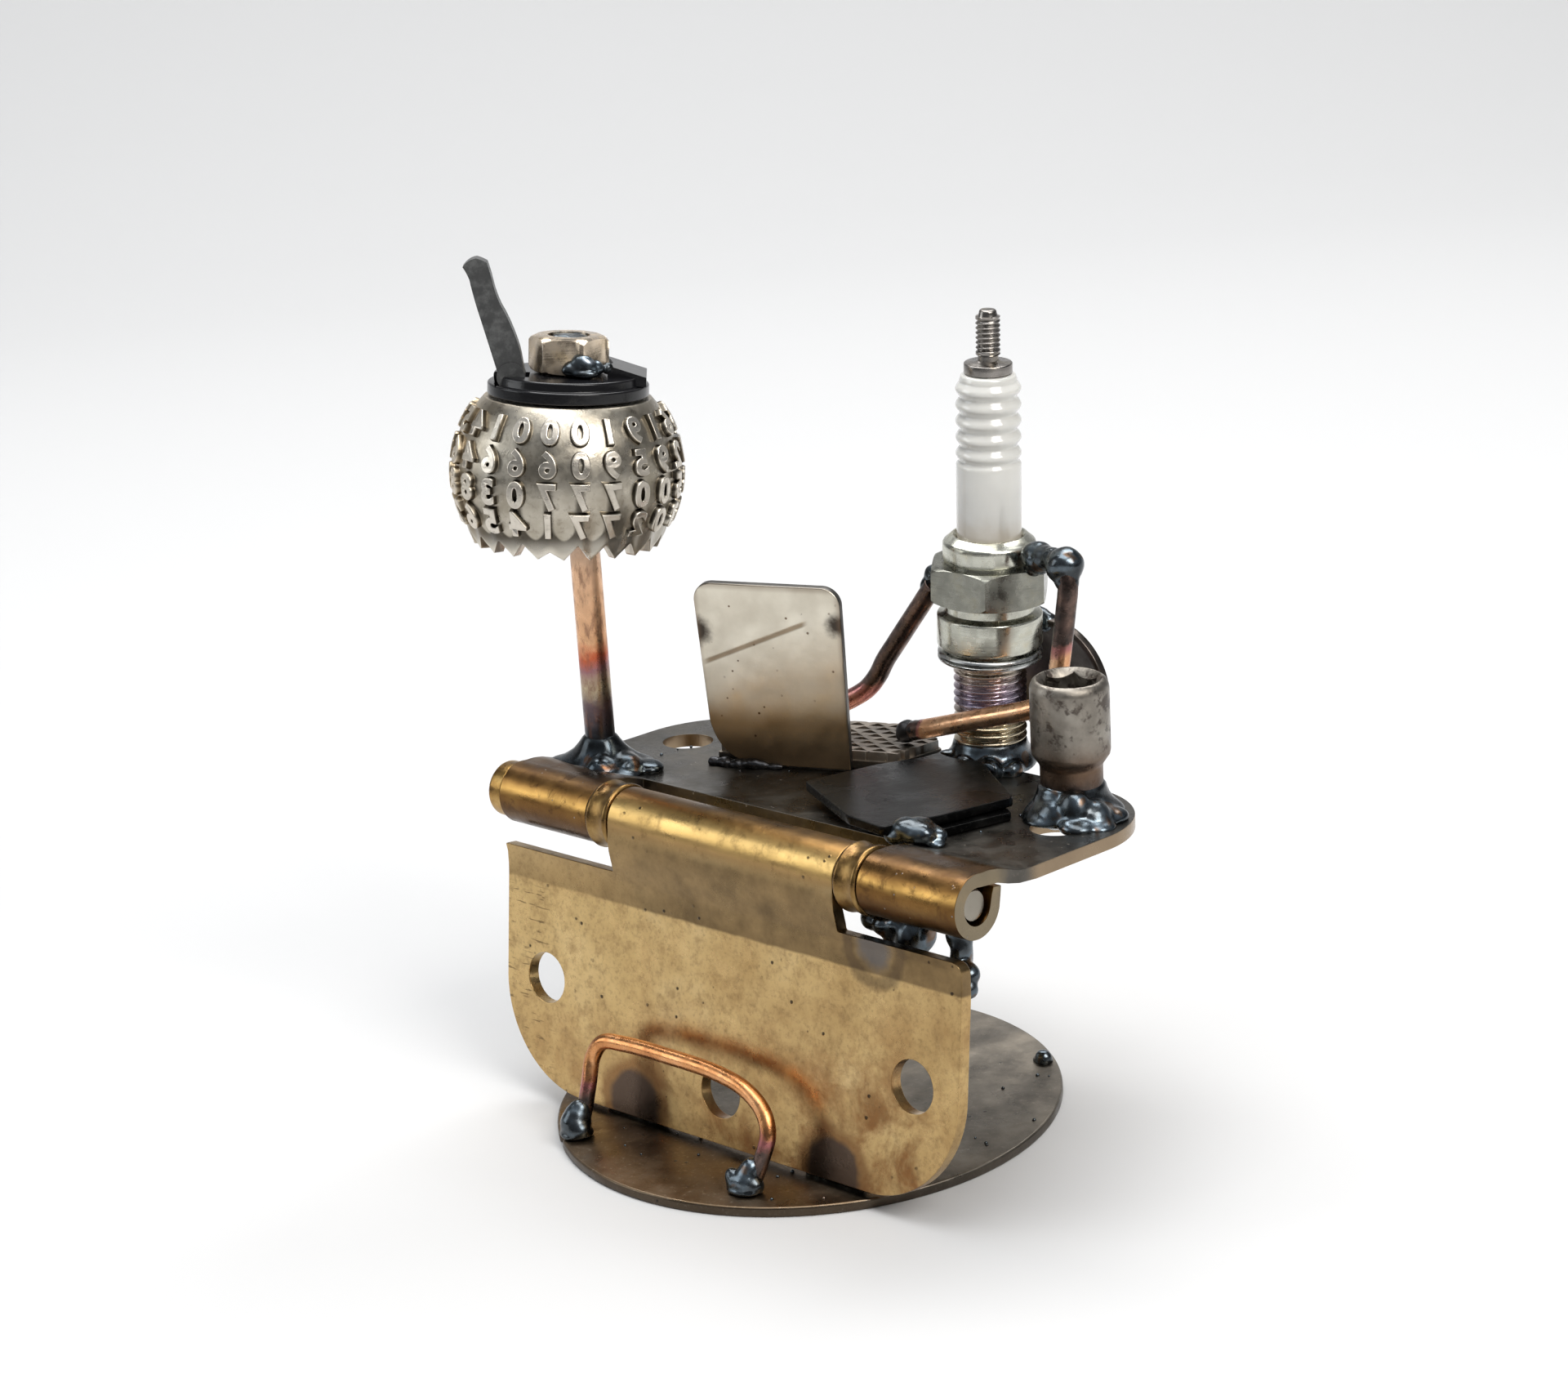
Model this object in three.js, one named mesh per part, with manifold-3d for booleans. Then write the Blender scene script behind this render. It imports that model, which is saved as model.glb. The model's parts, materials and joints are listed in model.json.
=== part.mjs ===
// Welded scrap-metal desk sculpture: a butt hinge makes a desk, a spark plug sits at it,
// and a typewriter type ball hangs over it as a lamp. Millimetres, +Z up. The origin is the
// centre of the round base's underside, and +X runs along the hinge pin.
import * as THREE from 'three';
import { mergeVertices } from 'three/addons/utils/BufferGeometryUtils.js';
import Module from 'manifold-3d';

const wasm = await Module();
wasm.setup();

// ---- Driving dimensions ----
const GAP = 0.3;                 // air left between pieces that touch or are welded

const DISC_RADIUS = 36.7;
const DISC_THICKNESS = 1.5;

const HINGE_LENGTH = 88.9;       // 3.5 inch butt hinge
const HINGE_ROLL = -0.5;         // degrees, hinge welded on slightly askew
const PIN_X = 1.86;
const PIN_Y = -11.54;
const PIN_Z = 44.5;
const DESK_REACH = 43.4;         // pin axis to the desk leaf's far edge
const UPRIGHT_REACH = 43.0;      // pin axis to the upright leaf's foot
const LEAF_THICKNESS = 2.0;
const LEAF_OFFSET = 2.63;        // pin axis to a leaf's outer face, past the swage
const SWAGE_REACH = 12.0;        // pin axis to the end of the swage
const BARREL_RADIUS = 4.6;
const BORE_RADIUS = 2.6;
const PIN_RADIUS = 2.3;
const CORNER_RADIUS = 16.2;
const SCREW_HOLE_RADIUS = 3.75;
const SCREW_HOLES = [[-36.05, 26.2], [36.05, 26.2], [0, 35.3]];
const CENTRE_KNUCKLE = [-21.7, 22.3];
const LEFT_KNUCKLE_END = -26.2;
const RIGHT_KNUCKLE_START = 26.7;
const NOTCH_REACH = 7.3;         // pin axis to the bottom of the leaf's notches
const UPRIGHT_LEAN = -9.0;       // degrees about the pin, foot forward
const DESK_SLOPE = -3.53;        // degrees about the pin, down to the back

const ROD_RADIUS = 1.45;
const RAIL_RADIUS = 1.15;

const LAMP_BASE = [-36.1, 8.64]; // on the desk, from the pin axis
const LAMP_POST_RADIUS = 2.2;
const LAMP_POST_LENGTH = 64.0;
const LAMP_POST_LEAN = [0.012, 0.013];
const SHADE_CENTRE = [-33.65, -4.25, 92.45];
const SHADE_AXIS = [0.011, 0.1416, 0.9899];
const SHADE_RADIUS = 16.0;
const SHADE_INNER_RADIUS = 14.2;
const SHADE_TOP = 10.65;
const SHADE_ROOF = 2.0;
const SHADE_TIP = -10.7;
const TOOTH_COUNT = 22;
const TOOTH_DEPTH = 2.1;
const BOSS_RADIUS = 5.8;
const BOSS_BORE = 4.35;
const BOSS_BOTTOM = 3.3;
const CAP_RADIUS = 11.5;
const CAP_BOTTOM = 10.95;
const CAP_STEP = 12.7;
const CAP_TOP = 14.0;
const CAP_BORE = 3.5;
const NUT_FLATS = 10.0;
const NUT_BOTTOM = 14.3;
const NUT_TOP = 19.4;
const NUT_BORE = 3.0;
const LEVER_PIVOT = [-8.0, 13.9];
const LEVER_MIDDLE_Y = -3.0;
const LEVER_THICKNESS = 4.0;
const LEVER_BOSS_RADIUS = 2.0;
const LEVER_PIN_RADIUS = 0.5;

const PLUG_BASE = [8.6, 43.9];   // on the desk, from the pin axis
const PLUG_LEAN = [0.045, 0.039];
const MUG_BASE = [33.9, 32.2];
const MUG_LEAN = [0.025, 0.022];

const LID_WIDTH = 22.5;
const LID_HEIGHT = 28.2;
const LID_THICKNESS = 1.3;
const LID_CORNER = 2.8;
const LID_FOOT = [-14.7, 24.6];
const LID_YAW = 23;
const LID_LEAN = 6.9;
const PLATE_THICKNESS = 1.2;
const MESH_THICKNESS = 1.3;

const AMPLE = 60;                // longer than any piece is from its own middle

const MUG_TOP = 20.0;
const MUG_RADIUS = 5.55;
const MUG_FOOT_RADIUS = 4.4;
const MUG_MOUTH_CORNER = 4.1;
const MUG_MOUTH_DEPTH = 11;

// ---- Materials ----
const finish = (color, roughness, metalness) =>
  new THREE.MeshStandardMaterial({ color, roughness, metalness });
const materials = {
  brass: () => finish(0xa8843c, 0.35, 1),
  darkSteel: () => finish(0x4b423a, 0.45, 0.9),
  blackPlate: () => finish(0x2b2a29, 0.5, 0.7),
  lidSteel: () => finish(0x9a8d7d, 0.45, 0.9),
  weld: () => finish(0x3a4048, 0.3, 0.9),
  copper: () => finish(0xb5673a, 0.3, 1),
  nickel: () => finish(0x9c9486, 0.35, 1),
  zinc: () => finish(0x8f8c80, 0.3, 1),
  blackPlastic: () => finish(0x141416, 0.3, 0),
  ceramic: () => finish(0xf0eee8, 0.15, 0),
  socketSteel: () => finish(0x6b645c, 0.5, 0.9),
};

// ---- Solids ----
const X = new THREE.Vector3(1, 0, 0);
const Y = new THREE.Vector3(0, 1, 0);
const Z = new THREE.Vector3(0, 0, 1);
const rad = THREE.MathUtils.degToRad;
const vec = (p) => new THREE.Vector3(p[0], p[1], p[2]);

/** A closed geometry as a manifold-3d solid with its faces pointing out. */
function solid(geometry) {
  const bare = geometry.index ? geometry.toNonIndexed() : geometry.clone();
  bare.deleteAttribute('normal');
  bare.deleteAttribute('uv');
  const merged = mergeVertices(bare, 1e-4);
  const points = merged.attributes.position.array;
  const index = merged.index.array;
  const triangles = [];
  let volume = 0;
  const a = new THREE.Vector3();
  const b = new THREE.Vector3();
  const c = new THREE.Vector3();
  for (let i = 0; i < index.length; i += 3) {
    const [p, q, r] = [index[i], index[i + 1], index[i + 2]];
    if (p === q || q === r || r === p) continue;
    triangles.push(p, q, r);
    volume += a.fromArray(points, 3 * p).dot(b.fromArray(points, 3 * q).cross(c.fromArray(points, 3 * r)));
  }
  if (volume < 0) triangles.reverse();
  const mesh = new wasm.Mesh({
    numProp: 3,
    vertProperties: new Float32Array(points),
    triVerts: new Uint32Array(triangles),
  });
  mesh.merge();
  return new wasm.Manifold(mesh);
}

/** A manifold-3d solid as a BufferGeometry. */
function geometryOf(manifold) {
  const mesh = manifold.getMesh();
  const geometry = new THREE.BufferGeometry();
  geometry.setAttribute('position', new THREE.BufferAttribute(new Float32Array(mesh.vertProperties), 3));
  geometry.setIndex(new THREE.BufferAttribute(new Uint32Array(mesh.triVerts), 1));
  geometry.computeVertexNormals();
  return geometry;
}

const cut = (body, ...tools) => tools.reduce((rest, tool) => rest.subtract(tool), body);
const join = (body, ...more) => more.reduce((sum, piece) => sum.add(piece), body);

const WELD_TOLERANCE = 0.06;

/** The largest separate piece of a solid, so that a cut leaves one body, with fewer facets. */
function largest(manifold) {
  const piece = manifold.decompose().sort((a, b) => b.volume() - a.volume())[0];
  return piece.simplify(WELD_TOLERANCE);
}

/** A solid of revolution about Z from [radius, height] points that close on themselves or the axis. */
function turned(points, segments) {
  const outline = points.map(([r, z]) => new THREE.Vector2(r, z));
  if (points[0][0] > 0) outline.push(outline[0].clone());
  return solid(new THREE.LatheGeometry(outline, segments).rotateX(Math.PI / 2));
}

/** A hexagonal prism about Z, turned by an angle in degrees. */
function hexagon(corner, low, high, turn) {
  return turned([[0, low], [corner, low], [corner, high], [0, high]], 6).rotate([0, 0, turn]);
}

/** Points of an arc in a plane, from one angle in degrees to another. */
function arc(cx, cy, radius, from, to, steps) {
  return Array.from({ length: steps + 1 }, (_, i) => {
    const angle = rad(from + ((to - from) * i) / steps);
    return [cx + radius * Math.cos(angle), cy + radius * Math.sin(angle)];
  });
}

const shapeOf = (points) => new THREE.Shape(points.map(([x, y]) => new THREE.Vector2(x, y)));

/** An outline extruded by a depth, centred, with its own axes turned to u, v and u x v. */
function slab(shape, depth, u = X, v = Y) {
  const w = new THREE.Vector3().crossVectors(u, v);
  const geometry = new THREE.ExtrudeGeometry(shape, { depth, bevelEnabled: false, curveSegments: 7 });
  geometry.translate(0, 0, -depth / 2);
  return solid(geometry.applyMatrix4(new THREE.Matrix4().makeBasis(u, v, w)));
}

/** A round rod along a smooth line through points. */
function rod(points, radius, sides = 9, steps = 3 * points.length) {
  const circle = shapeOf(arc(0, 0, radius, 0, 360 - 360 / sides, sides - 1));
  const path = points.length > 2
    ? new THREE.CatmullRomCurve3(points.map(vec), false, 'centripetal')
    : new THREE.LineCurve3(vec(points[0]), vec(points[1]));
  return solid(new THREE.ExtrudeGeometry(circle, {
    extrudePath: path, steps: points.length > 2 ? steps : 1, bevelEnabled: false,
  }));
}

/** A cylinder between two points. */
function bar(from, to, radius, sides = 24) {
  const a = vec(from);
  const b = vec(to);
  const geometry = new THREE.CylinderGeometry(radius, radius, a.distanceTo(b), sides);
  const turn = new THREE.Quaternion().setFromUnitVectors(Y, b.clone().sub(a).normalize());
  geometry.applyQuaternion(turn).translate(...a.add(b).multiplyScalar(0.5).toArray());
  return solid(geometry);
}

/** A lump of weld metal: an ellipsoid. */
function lump(centre, radii, detail = 7) {
  const geometry = new THREE.SphereGeometry(1, detail + 4, detail);
  return solid(geometry.scale(...radii).translate(...centre));
}

function box(low, high) {
  const size = vec(high).sub(vec(low));
  const geometry = new THREE.BoxGeometry(size.x, size.y, size.z);
  return solid(geometry.translate(...vec(low).add(vec(high)).multiplyScalar(0.5).toArray()));
}

/** A flat plate cut to an outline, lying in X and Y with its underside at a height. */
function plate(points, bottom, thickness) {
  return slab(shapeOf(points), thickness).translate([0, 0, bottom + thickness / 2]);
}

const shifted = (points, dx, dy) => points.map(([x, y]) => [x + dx, y + dy]);

// ---- Groups, and moving a solid from one group into another ----
const sculpture = new THREE.Group();

function groupIn(parent, position, rotation = [0, 0, 0]) {
  const group = new THREE.Group();
  group.position.set(...position);
  group.rotation.set(...rotation.map(rad));
  parent.add(group);
  group.updateWorldMatrix(true, false);
  return group;
}

/** A copy of a solid drawn in one group's axes, moved into another group's axes. */
function moved(manifold, from, to) {
  const matrix = to.matrixWorld.clone().invert().multiply(from.matrixWorld);
  return solid(geometryOf(manifold).applyMatrix4(matrix));
}

function place(group, name, manifold, material) {
  const mesh = new THREE.Mesh(geometryOf(manifold), material());
  mesh.name = name;
  group.add(mesh);
  return mesh;
}

const hinge = groupIn(sculpture, [PIN_X, PIN_Y, PIN_Z], [0, HINGE_ROLL, 0]);
const upright = groupIn(hinge, [0, 0, 0], [UPRIGHT_LEAN, 0, 0]);
const desk = groupIn(hinge, [0, 0, 0], [DESK_SLOPE, 0, 0]);
const deskTop = groupIn(desk, [0, 0, LEAF_OFFSET]);

/** A group that stands on the desk top but whose Z axis is nearly upright. */
function standOnDesk([x, y], [leanX, leanY]) {
  const foot = deskTop.localToWorld(new THREE.Vector3(x, y, 0));
  const group = groupIn(sculpture, foot.toArray());
  const up = new THREE.Vector3(leanX, leanY, 1).normalize();
  group.quaternion.setFromUnitVectors(Z, up);
  group.updateWorldMatrix(true, false);
  return group;
}

// ---- Base disc ----
const BEVEL = 0.3;
const baseDisc = turned([
  [0, 0], [DISC_RADIUS - BEVEL, 0], [DISC_RADIUS, BEVEL],
  [DISC_RADIUS, DISC_THICKNESS - BEVEL], [DISC_RADIUS - BEVEL, DISC_THICKNESS], [0, DISC_THICKNESS],
], 60);
place(sculpture, 'base_disc', baseDisc, materials.darkSteel);
const discClear = box([-AMPLE, -AMPLE, -AMPLE], [AMPLE, AMPLE, DISC_THICKNESS + GAP]);
place(sculpture, 'rim_spatter_bead',
  cut(lump([21.2, 27.6, DISC_THICKNESS + 0.9], [1.7, 1.5, 1.5]), discClear), materials.weld);

// ---- Hinge leaves ----
/** Section of a leaf and its curl: first axis along the leaf, second outward from the pin. */
function leafSection(curlEnd) {
  const faceIn = LEAF_OFFSET - LEAF_THICKNESS;
  return shapeOf([
    [DESK_REACH + 1, faceIn], [DESK_REACH + 1, LEAF_OFFSET], [SWAGE_REACH, LEAF_OFFSET],
    [SWAGE_REACH * 0.72, LEAF_OFFSET + 0.25], [SWAGE_REACH * 0.35, BARREL_RADIUS - 0.35],
    ...arc(0, 0, BARREL_RADIUS, 80, curlEnd, 14),
    ...arc(0, 0, BORE_RADIUS, curlEnd, 75, 10),
    [SWAGE_REACH * 0.35, faceIn + 1.55], [SWAGE_REACH * 0.72, faceIn + 0.3], [SWAGE_REACH, faceIn],
  ]);
}

const HALF = HINGE_LENGTH / 2;

/** Outline of a leaf seen flat: x along the pin, y away from it. tabs are its knuckles. */
function leafOutline(tabs, far) {
  const shape = new THREE.Shape();
  const straight = far - CORNER_RADIUS;
  const tabReach = -BARREL_RADIUS - 1;
  shape.moveTo(-HALF, straight);
  shape.absarc(-HALF + CORNER_RADIUS, straight, CORNER_RADIUS, Math.PI, Math.PI / 2, true);
  shape.absarc(HALF - CORNER_RADIUS, straight, CORNER_RADIUS, Math.PI / 2, 0, true);
  shape.lineTo(HALF, NOTCH_REACH);
  for (const [left, right] of [...tabs].reverse()) {
    shape.lineTo(right, NOTCH_REACH);
    shape.lineTo(right, tabReach);
    shape.lineTo(left, tabReach);
    shape.lineTo(left, NOTCH_REACH);
  }
  shape.lineTo(-HALF, NOTCH_REACH);
  shape.closePath();
  return shape;
}

/** A leaf with its knuckles and screw holes, lying along u with its face towards v. */
function leaf(tabs, far, curlEnd, u, v) {
  const rolled = slab(leafSection(curlEnd), HINGE_LENGTH - 0.01, u, v);
  const outline = slab(leafOutline(tabs, far), 4 * BARREL_RADIUS, X, u);
  const holes = SCREW_HOLES.map(([x, reach]) => {
    const middle = X.clone().multiplyScalar(x).addScaledVector(u, reach);
    const away = v.clone().multiplyScalar(2 * BARREL_RADIUS);
    const [from, to] = [middle.clone().sub(away), middle.clone().add(away)];
    return bar(from.toArray(), to.toArray(), SCREW_HOLE_RADIUS, 20);
  });
  return cut(rolled.intersect(outline), ...holes);
}

const DOWN = new THREE.Vector3(0, 0, -1);
const FRONT = new THREE.Vector3(0, -1, 0);
const uprightLeaf = leaf([CENTRE_KNUCKLE], UPRIGHT_REACH, 380, DOWN, FRONT);
const deskLeaf = leaf([[-HALF, LEFT_KNUCKLE_END], [RIGHT_KNUCKLE_START, HALF]], DESK_REACH, 345, Y, Z);
place(upright, 'upright_leaf', uprightLeaf, materials.brass);
place(desk, 'desk_leaf', deskLeaf, materials.darkSteel);

// ---- Pin and bearing rings ----
const HEAD_LENGTH = 2.9;
const HEAD_RADIUS = 4.1;
const PIN_END = HALF - 0.6;
const pinBody = join(
  bar([-HALF - 1, 0, 0], [PIN_END, 0, 0], PIN_RADIUS, 20),
  bar([-HALF - GAP - HEAD_LENGTH, 0, 0], [-HALF - GAP, 0, 0], HEAD_RADIUS, 32),
);
place(hinge, 'hinge_pin', pinBody, materials.brass);

const RING_RADIUS = 4.95;
function bearingRing(name, from, to) {
  const blank = bar([from, 0, 0], [to, 0, 0], RING_RADIUS, 28);
  const bore = bar([from - 1, 0, 0], [to + 1, 0, 0], BORE_RADIUS, 16);
  place(hinge, name, cut(blank, bore), materials.brass);
}
bearingRing('bearing_ring_left', LEFT_KNUCKLE_END + GAP, CENTRE_KNUCKLE[0] - GAP);
bearingRing('bearing_ring_right', CENTRE_KNUCKLE[1] + GAP, RIGHT_KNUCKLE_START - GAP);

// ---- Welds that lock the hinge at a right angle, behind the right notch ----
const barrelClear = bar([-AMPLE, 0, 0], [AMPLE, 0, 0], RING_RADIUS + GAP, 32);
const uprightFront = -LEAF_OFFSET - GAP;
const uprightBack = LEAF_THICKNESS - LEAF_OFFSET + GAP;
const uprightFlat = box([-AMPLE, uprightFront, -AMPLE], [AMPLE, uprightBack, -NOTCH_REACH + GAP]);
const uprightInHinge = moved(uprightFlat, upright, hinge);

function lockWeld(name, x, halfWidth) {
  const block = join(
    lump([x, 1.6, -8.0], [halfWidth, 2.6, 4.6]),
    lump([x, 3.6, -5.6], [halfWidth * 0.85, 2.6, 3.2]),
  );
  const weld = cut(block, barrelClear, uprightInHinge);
  place(hinge, name, largest(weld), materials.weld);
}
lockWeld('lock_weld_inner', 29.6, 3.6);
lockWeld('lock_weld_outer', 39.6, 2.3);

// ---- Welds that hold the upright on the disc, behind its foot ----
const uprightSlab = box([-AMPLE, uprightFront, -AMPLE], [AMPLE, uprightBack, 0]);
const uprightInRow = moved(uprightSlab, upright, sculpture);
const uprightFoot = upright.localToWorld(new THREE.Vector3(0, LEAF_THICKNESS - LEAF_OFFSET, -UPRIGHT_REACH));
for (const [side, x] of [['left', -17], ['right', 22.5]]) {
  const bead = lump([x, uprightFoot.y + 0.8, DISC_THICKNESS + 0.3], [5.2, 2.7, 2.6]);
  const weld = cut(bead, discClear, uprightInRow);
  place(sculpture, `foot_weld_${side}`, largest(weld), materials.weld);
}

// ---- Foot rail: a bow of copper-coated rod on the disc in front ----
const RAIL_FOOT = 0.9;           // the rod's cut ends lean, so they stop above the disc
const RAIL_ROUTE = [
  [-19.0, -28.3, DISC_THICKNESS + RAIL_FOOT], [-18.6, -27.4, 4.0],
  [-18.4, -25.9, 8.5], [-18.5, -24.5, 12.2],
  [-16.9, -23.8, 14.6], [-12.5, -23.4, 15.2], [-3.0, -23.4, 15.5], [6.0, -23.4, 15.3],
  [11.6, -23.7, 14.3], [15.4, -24.4, 12.2], [16.9, -25.3, 9.6], [16.4, -26.4, 6.2],
  [15.0, -27.7, DISC_THICKNESS + RAIL_FOOT],
];
place(sculpture, 'foot_rail', rod(RAIL_ROUTE, RAIL_RADIUS, 8, 26), materials.copper);

/** A blob of weld round a foot of the rail. */
function railWeld(name, lumps, route) {
  const radius = RAIL_RADIUS + 1.5 * GAP;
  const bore = join(rod(route, radius, 10, 6), lump(route[0], [radius, radius, radius], 5));
  place(sculpture, name, largest(cut(join(...lumps), discClear, bore)), materials.weld);
}
railWeld('foot_rail_weld_left', [
  lump([-18.9, -28.5, 2.3], [2.9, 2.6, 2.6]),
  lump([-17.4, -29.7, 2.2], [2.0, 1.8, 1.6]),
], RAIL_ROUTE.slice(0, 4));
railWeld('foot_rail_weld_right', [
  lump([14.6, -28.3, 2.3], [3.0, 2.4, 2.3]),
  lump([12.4, -28.9, 2.1], [1.9, 1.7, 1.6]),
], RAIL_ROUTE.slice(-4).reverse());

// ---- Things on the desk, drawn in the axes of the desk top ----
const leafOnTop = moved(deskLeaf, desk, deskTop);
const deskClear = join(
  box([-AMPLE, -AMPLE, -AMPLE], [AMPLE, AMPLE, GAP]),
  leafOnTop.translate([0, 0, GAP]),
  leafOnTop,
);

/** A ring of weld round a post: a fillet from the post's clearance out to a foot on the desk. */
function collarWeld(group, name, bore, foot, height) {
  const fillet = turned([
    [bore + GAP, -3], [foot, -3], [foot * 0.98, 0.35], [foot * 0.8, height * 0.3],
    [bore + (foot - bore) * 0.35, height * 0.62], [bore + GAP + 0.25, height], [bore + GAP, height],
  ], 20);
  const weld = cut(fillet, moved(deskClear, deskTop, group));
  place(group, name, largest(weld), materials.weld);
}

// Lamp
const lamp = standOnDesk(LAMP_BASE, LAMP_POST_LEAN);
const postFoot = 1.6;            // on the swage, a little above the flat of the desk
const lampPost = bar([0, 0, postFoot], [0, 0, LAMP_POST_LENGTH], LAMP_POST_RADIUS, 20);
place(lamp, 'lamp_post', lampPost, materials.copper);
collarWeld(lamp, 'lamp_post_weld', LAMP_POST_RADIUS, 5.6, 5.2);

// Shade: the type ball, its cap and the nut over it share one tilted axis
const shade = groupIn(sculpture, SHADE_CENTRE);
const shadeUp = vec(SHADE_AXIS).normalize();
const SHADE_FACING = 45.3;       // degrees that the ball's own axes are turned about its axis
const shadeTurn = new THREE.Quaternion().setFromAxisAngle(Z, rad(SHADE_FACING));
shade.quaternion.setFromUnitVectors(Z, shadeUp).multiply(shadeTurn);
shade.updateWorldMatrix(true, false);

/** Part of a circle about the origin, between two heights. */
function sphereArc(radius, fromZ, toZ, steps) {
  const angle = (z) => THREE.MathUtils.radToDeg(Math.asin(z / radius));
  return arc(0, 0, radius, angle(fromZ), angle(toZ), steps);
}
const roofUnder = SHADE_TOP - SHADE_ROOF;
const outerArc = sphereArc(SHADE_RADIUS, SHADE_TOP, SHADE_TIP, 6);
const innerArc = sphereArc(SHADE_INNER_RADIUS, SHADE_TIP, roofUnder, 4);
const ballBlank = turned([
  [BOSS_BORE, SHADE_TOP], ...outerArc, ...innerArc,
  [BOSS_RADIUS, roofUnder], [BOSS_RADIUS, BOSS_BOTTOM], [BOSS_BORE, BOSS_BOTTOM],
], 2 * TOOTH_COUNT);
const toothPitch = (2 * Math.PI) / TOOTH_COUNT;
const notches = Array.from({ length: TOOTH_COUNT }, (_, i) => {
  const halfWidth = SHADE_RADIUS * Math.sin(toothPitch / 2) * 0.8;
  const valley = SHADE_TIP + TOOTH_DEPTH;
  const outline = shapeOf([[-halfWidth, SHADE_TIP - 1], [halfWidth, SHADE_TIP - 1], [0, valley]]);
  const notch = geometryOf(slab(outline, 10, X, Z));
  return solid(notch.translate(0, -SHADE_RADIUS * 0.72, 0).rotateZ((i + 0.5) * toothPitch));
});
place(shade, 'shade_ball', cut(ballBlank, ...notches), materials.nickel);

// The cap's wedge stands on its right, and a pocket on its left holds the lever's boss
const [pivotX, pivotZ] = LEVER_PIVOT;
const pinZ = pivotZ - 1;
const POCKET_SIDES = [-5.4, -0.6];
const PIN_ENDS = [-6.6, 0.6];
const POCKET_ROOM = 0.6;         // air round the boss, which turns about a pin below its middle
const along = (low, high, z, radius, sides) => bar([pivotX, low, z], [pivotX, high, z], radius, sides);
const capBlank = turned([
  [CAP_BORE, CAP_BOTTOM], [CAP_RADIUS, CAP_BOTTOM], [CAP_RADIUS, CAP_STEP],
  [CAP_RADIUS - 0.7, CAP_STEP + 0.1], [CAP_RADIUS - 0.8, CAP_TOP - 0.2], [CAP_RADIUS - 1.0, CAP_TOP], [CAP_BORE, CAP_TOP],
], 36);
const WEDGE = [[6.1, CAP_TOP - 1], [11.1, CAP_TOP - 1], [11.1, CAP_TOP - 0.2], [6.1, CAP_TOP + 2.0]];
const WEDGE_WIDTH = 9;
const wedge = slab(shapeOf(WEDGE), WEDGE_WIDTH, X, Z);
const clipGroove = cut(
  bar([0, 0, CAP_BOTTOM - 1], [0, 0, CAP_BOTTOM + 1.5], 7.6, 32),
  bar([0, 0, CAP_BOTTOM - 2], [0, 0, CAP_BOTTOM + 2], 5.2, 32),
);
const pocketHalf = LEVER_BOSS_RADIUS + POCKET_ROOM;
const pocket = join(
  along(...POCKET_SIDES, pivotZ, pocketHalf, 16),
  box([pivotX - pocketHalf, POCKET_SIDES[0], pivotZ], [pivotX + pocketHalf, POCKET_SIDES[1], pivotZ + 4]),
);
const capPinHole = along(PIN_ENDS[0] - GAP, PIN_ENDS[1] + GAP, pinZ, LEVER_PIN_RADIUS + GAP, 12);
const nutClearRadius = NUT_FLATS * 0.6 + GAP;
const nutClearLow = NUT_BOTTOM - GAP + 0.01;
const nutClear = bar([0, 0, nutClearLow], [0, 0, NUT_TOP], nutClearRadius, 24);
const shadeCap = cut(join(capBlank, wedge), clipGroove, pocket, capPinHole, nutClear);
place(shade, 'shade_cap', shadeCap, materials.blackPlastic);

// Retaining spring under the cap: a wire bent to a C
const clipRoute = arc(0, 0, 6.4, 20, 300, 14).map(([x, y]) => [x, y, CAP_BOTTOM + 0.62]);
place(shade, 'lever_spring_clip', rod(clipRoute, 0.4, 6, 16), materials.zinc);

// Lever, standing up and leaning out, and the pin that it turns on
const leverSide = new THREE.Shape();
leverSide.moveTo(-9.9, 14.5);
leverSide.quadraticCurveTo(-11.4, 19.2, -12.7, 23.1);
leverSide.quadraticCurveTo(-13.5, 25.6, -13.9, 27.4);
leverSide.quadraticCurveTo(-14.4, 28.6, -14.9, 29.2);
leverSide.quadraticCurveTo(-14.2, 30.3, -13.0, 30.5);
leverSide.lineTo(-11.5, 29.9);
leverSide.quadraticCurveTo(-10.9, 28.2, -10.6, 26.9);
leverSide.quadraticCurveTo(-10.0, 24.6, -8.9, 22.9);
leverSide.quadraticCurveTo(-7.6, 20.4, -6.8, 17.9);
leverSide.lineTo(-6.1, 14.4);
leverSide.closePath();
const leverLow = LEVER_MIDDLE_Y - LEVER_THICKNESS / 2;
const leverHigh = LEVER_MIDDLE_Y + LEVER_THICKNESS / 2;
const leverBlade = slab(leverSide, LEVER_THICKNESS - 0.8, X, Z).translate([0, LEVER_MIDDLE_Y, 0]);
const leverBoss = along(leverLow, leverHigh, pivotZ, LEVER_BOSS_RADIUS, 16);
const leverBore = along(leverLow - 1, leverHigh + 1, pinZ, LEVER_PIN_RADIUS + GAP, 12);
place(shade, 'lamp_lever', cut(join(leverBlade, leverBoss), leverBore), materials.blackPlastic);
place(shade, 'lever_pivot_pin', along(...PIN_ENDS, pinZ, LEVER_PIN_RADIUS, 12), materials.zinc);

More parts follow.
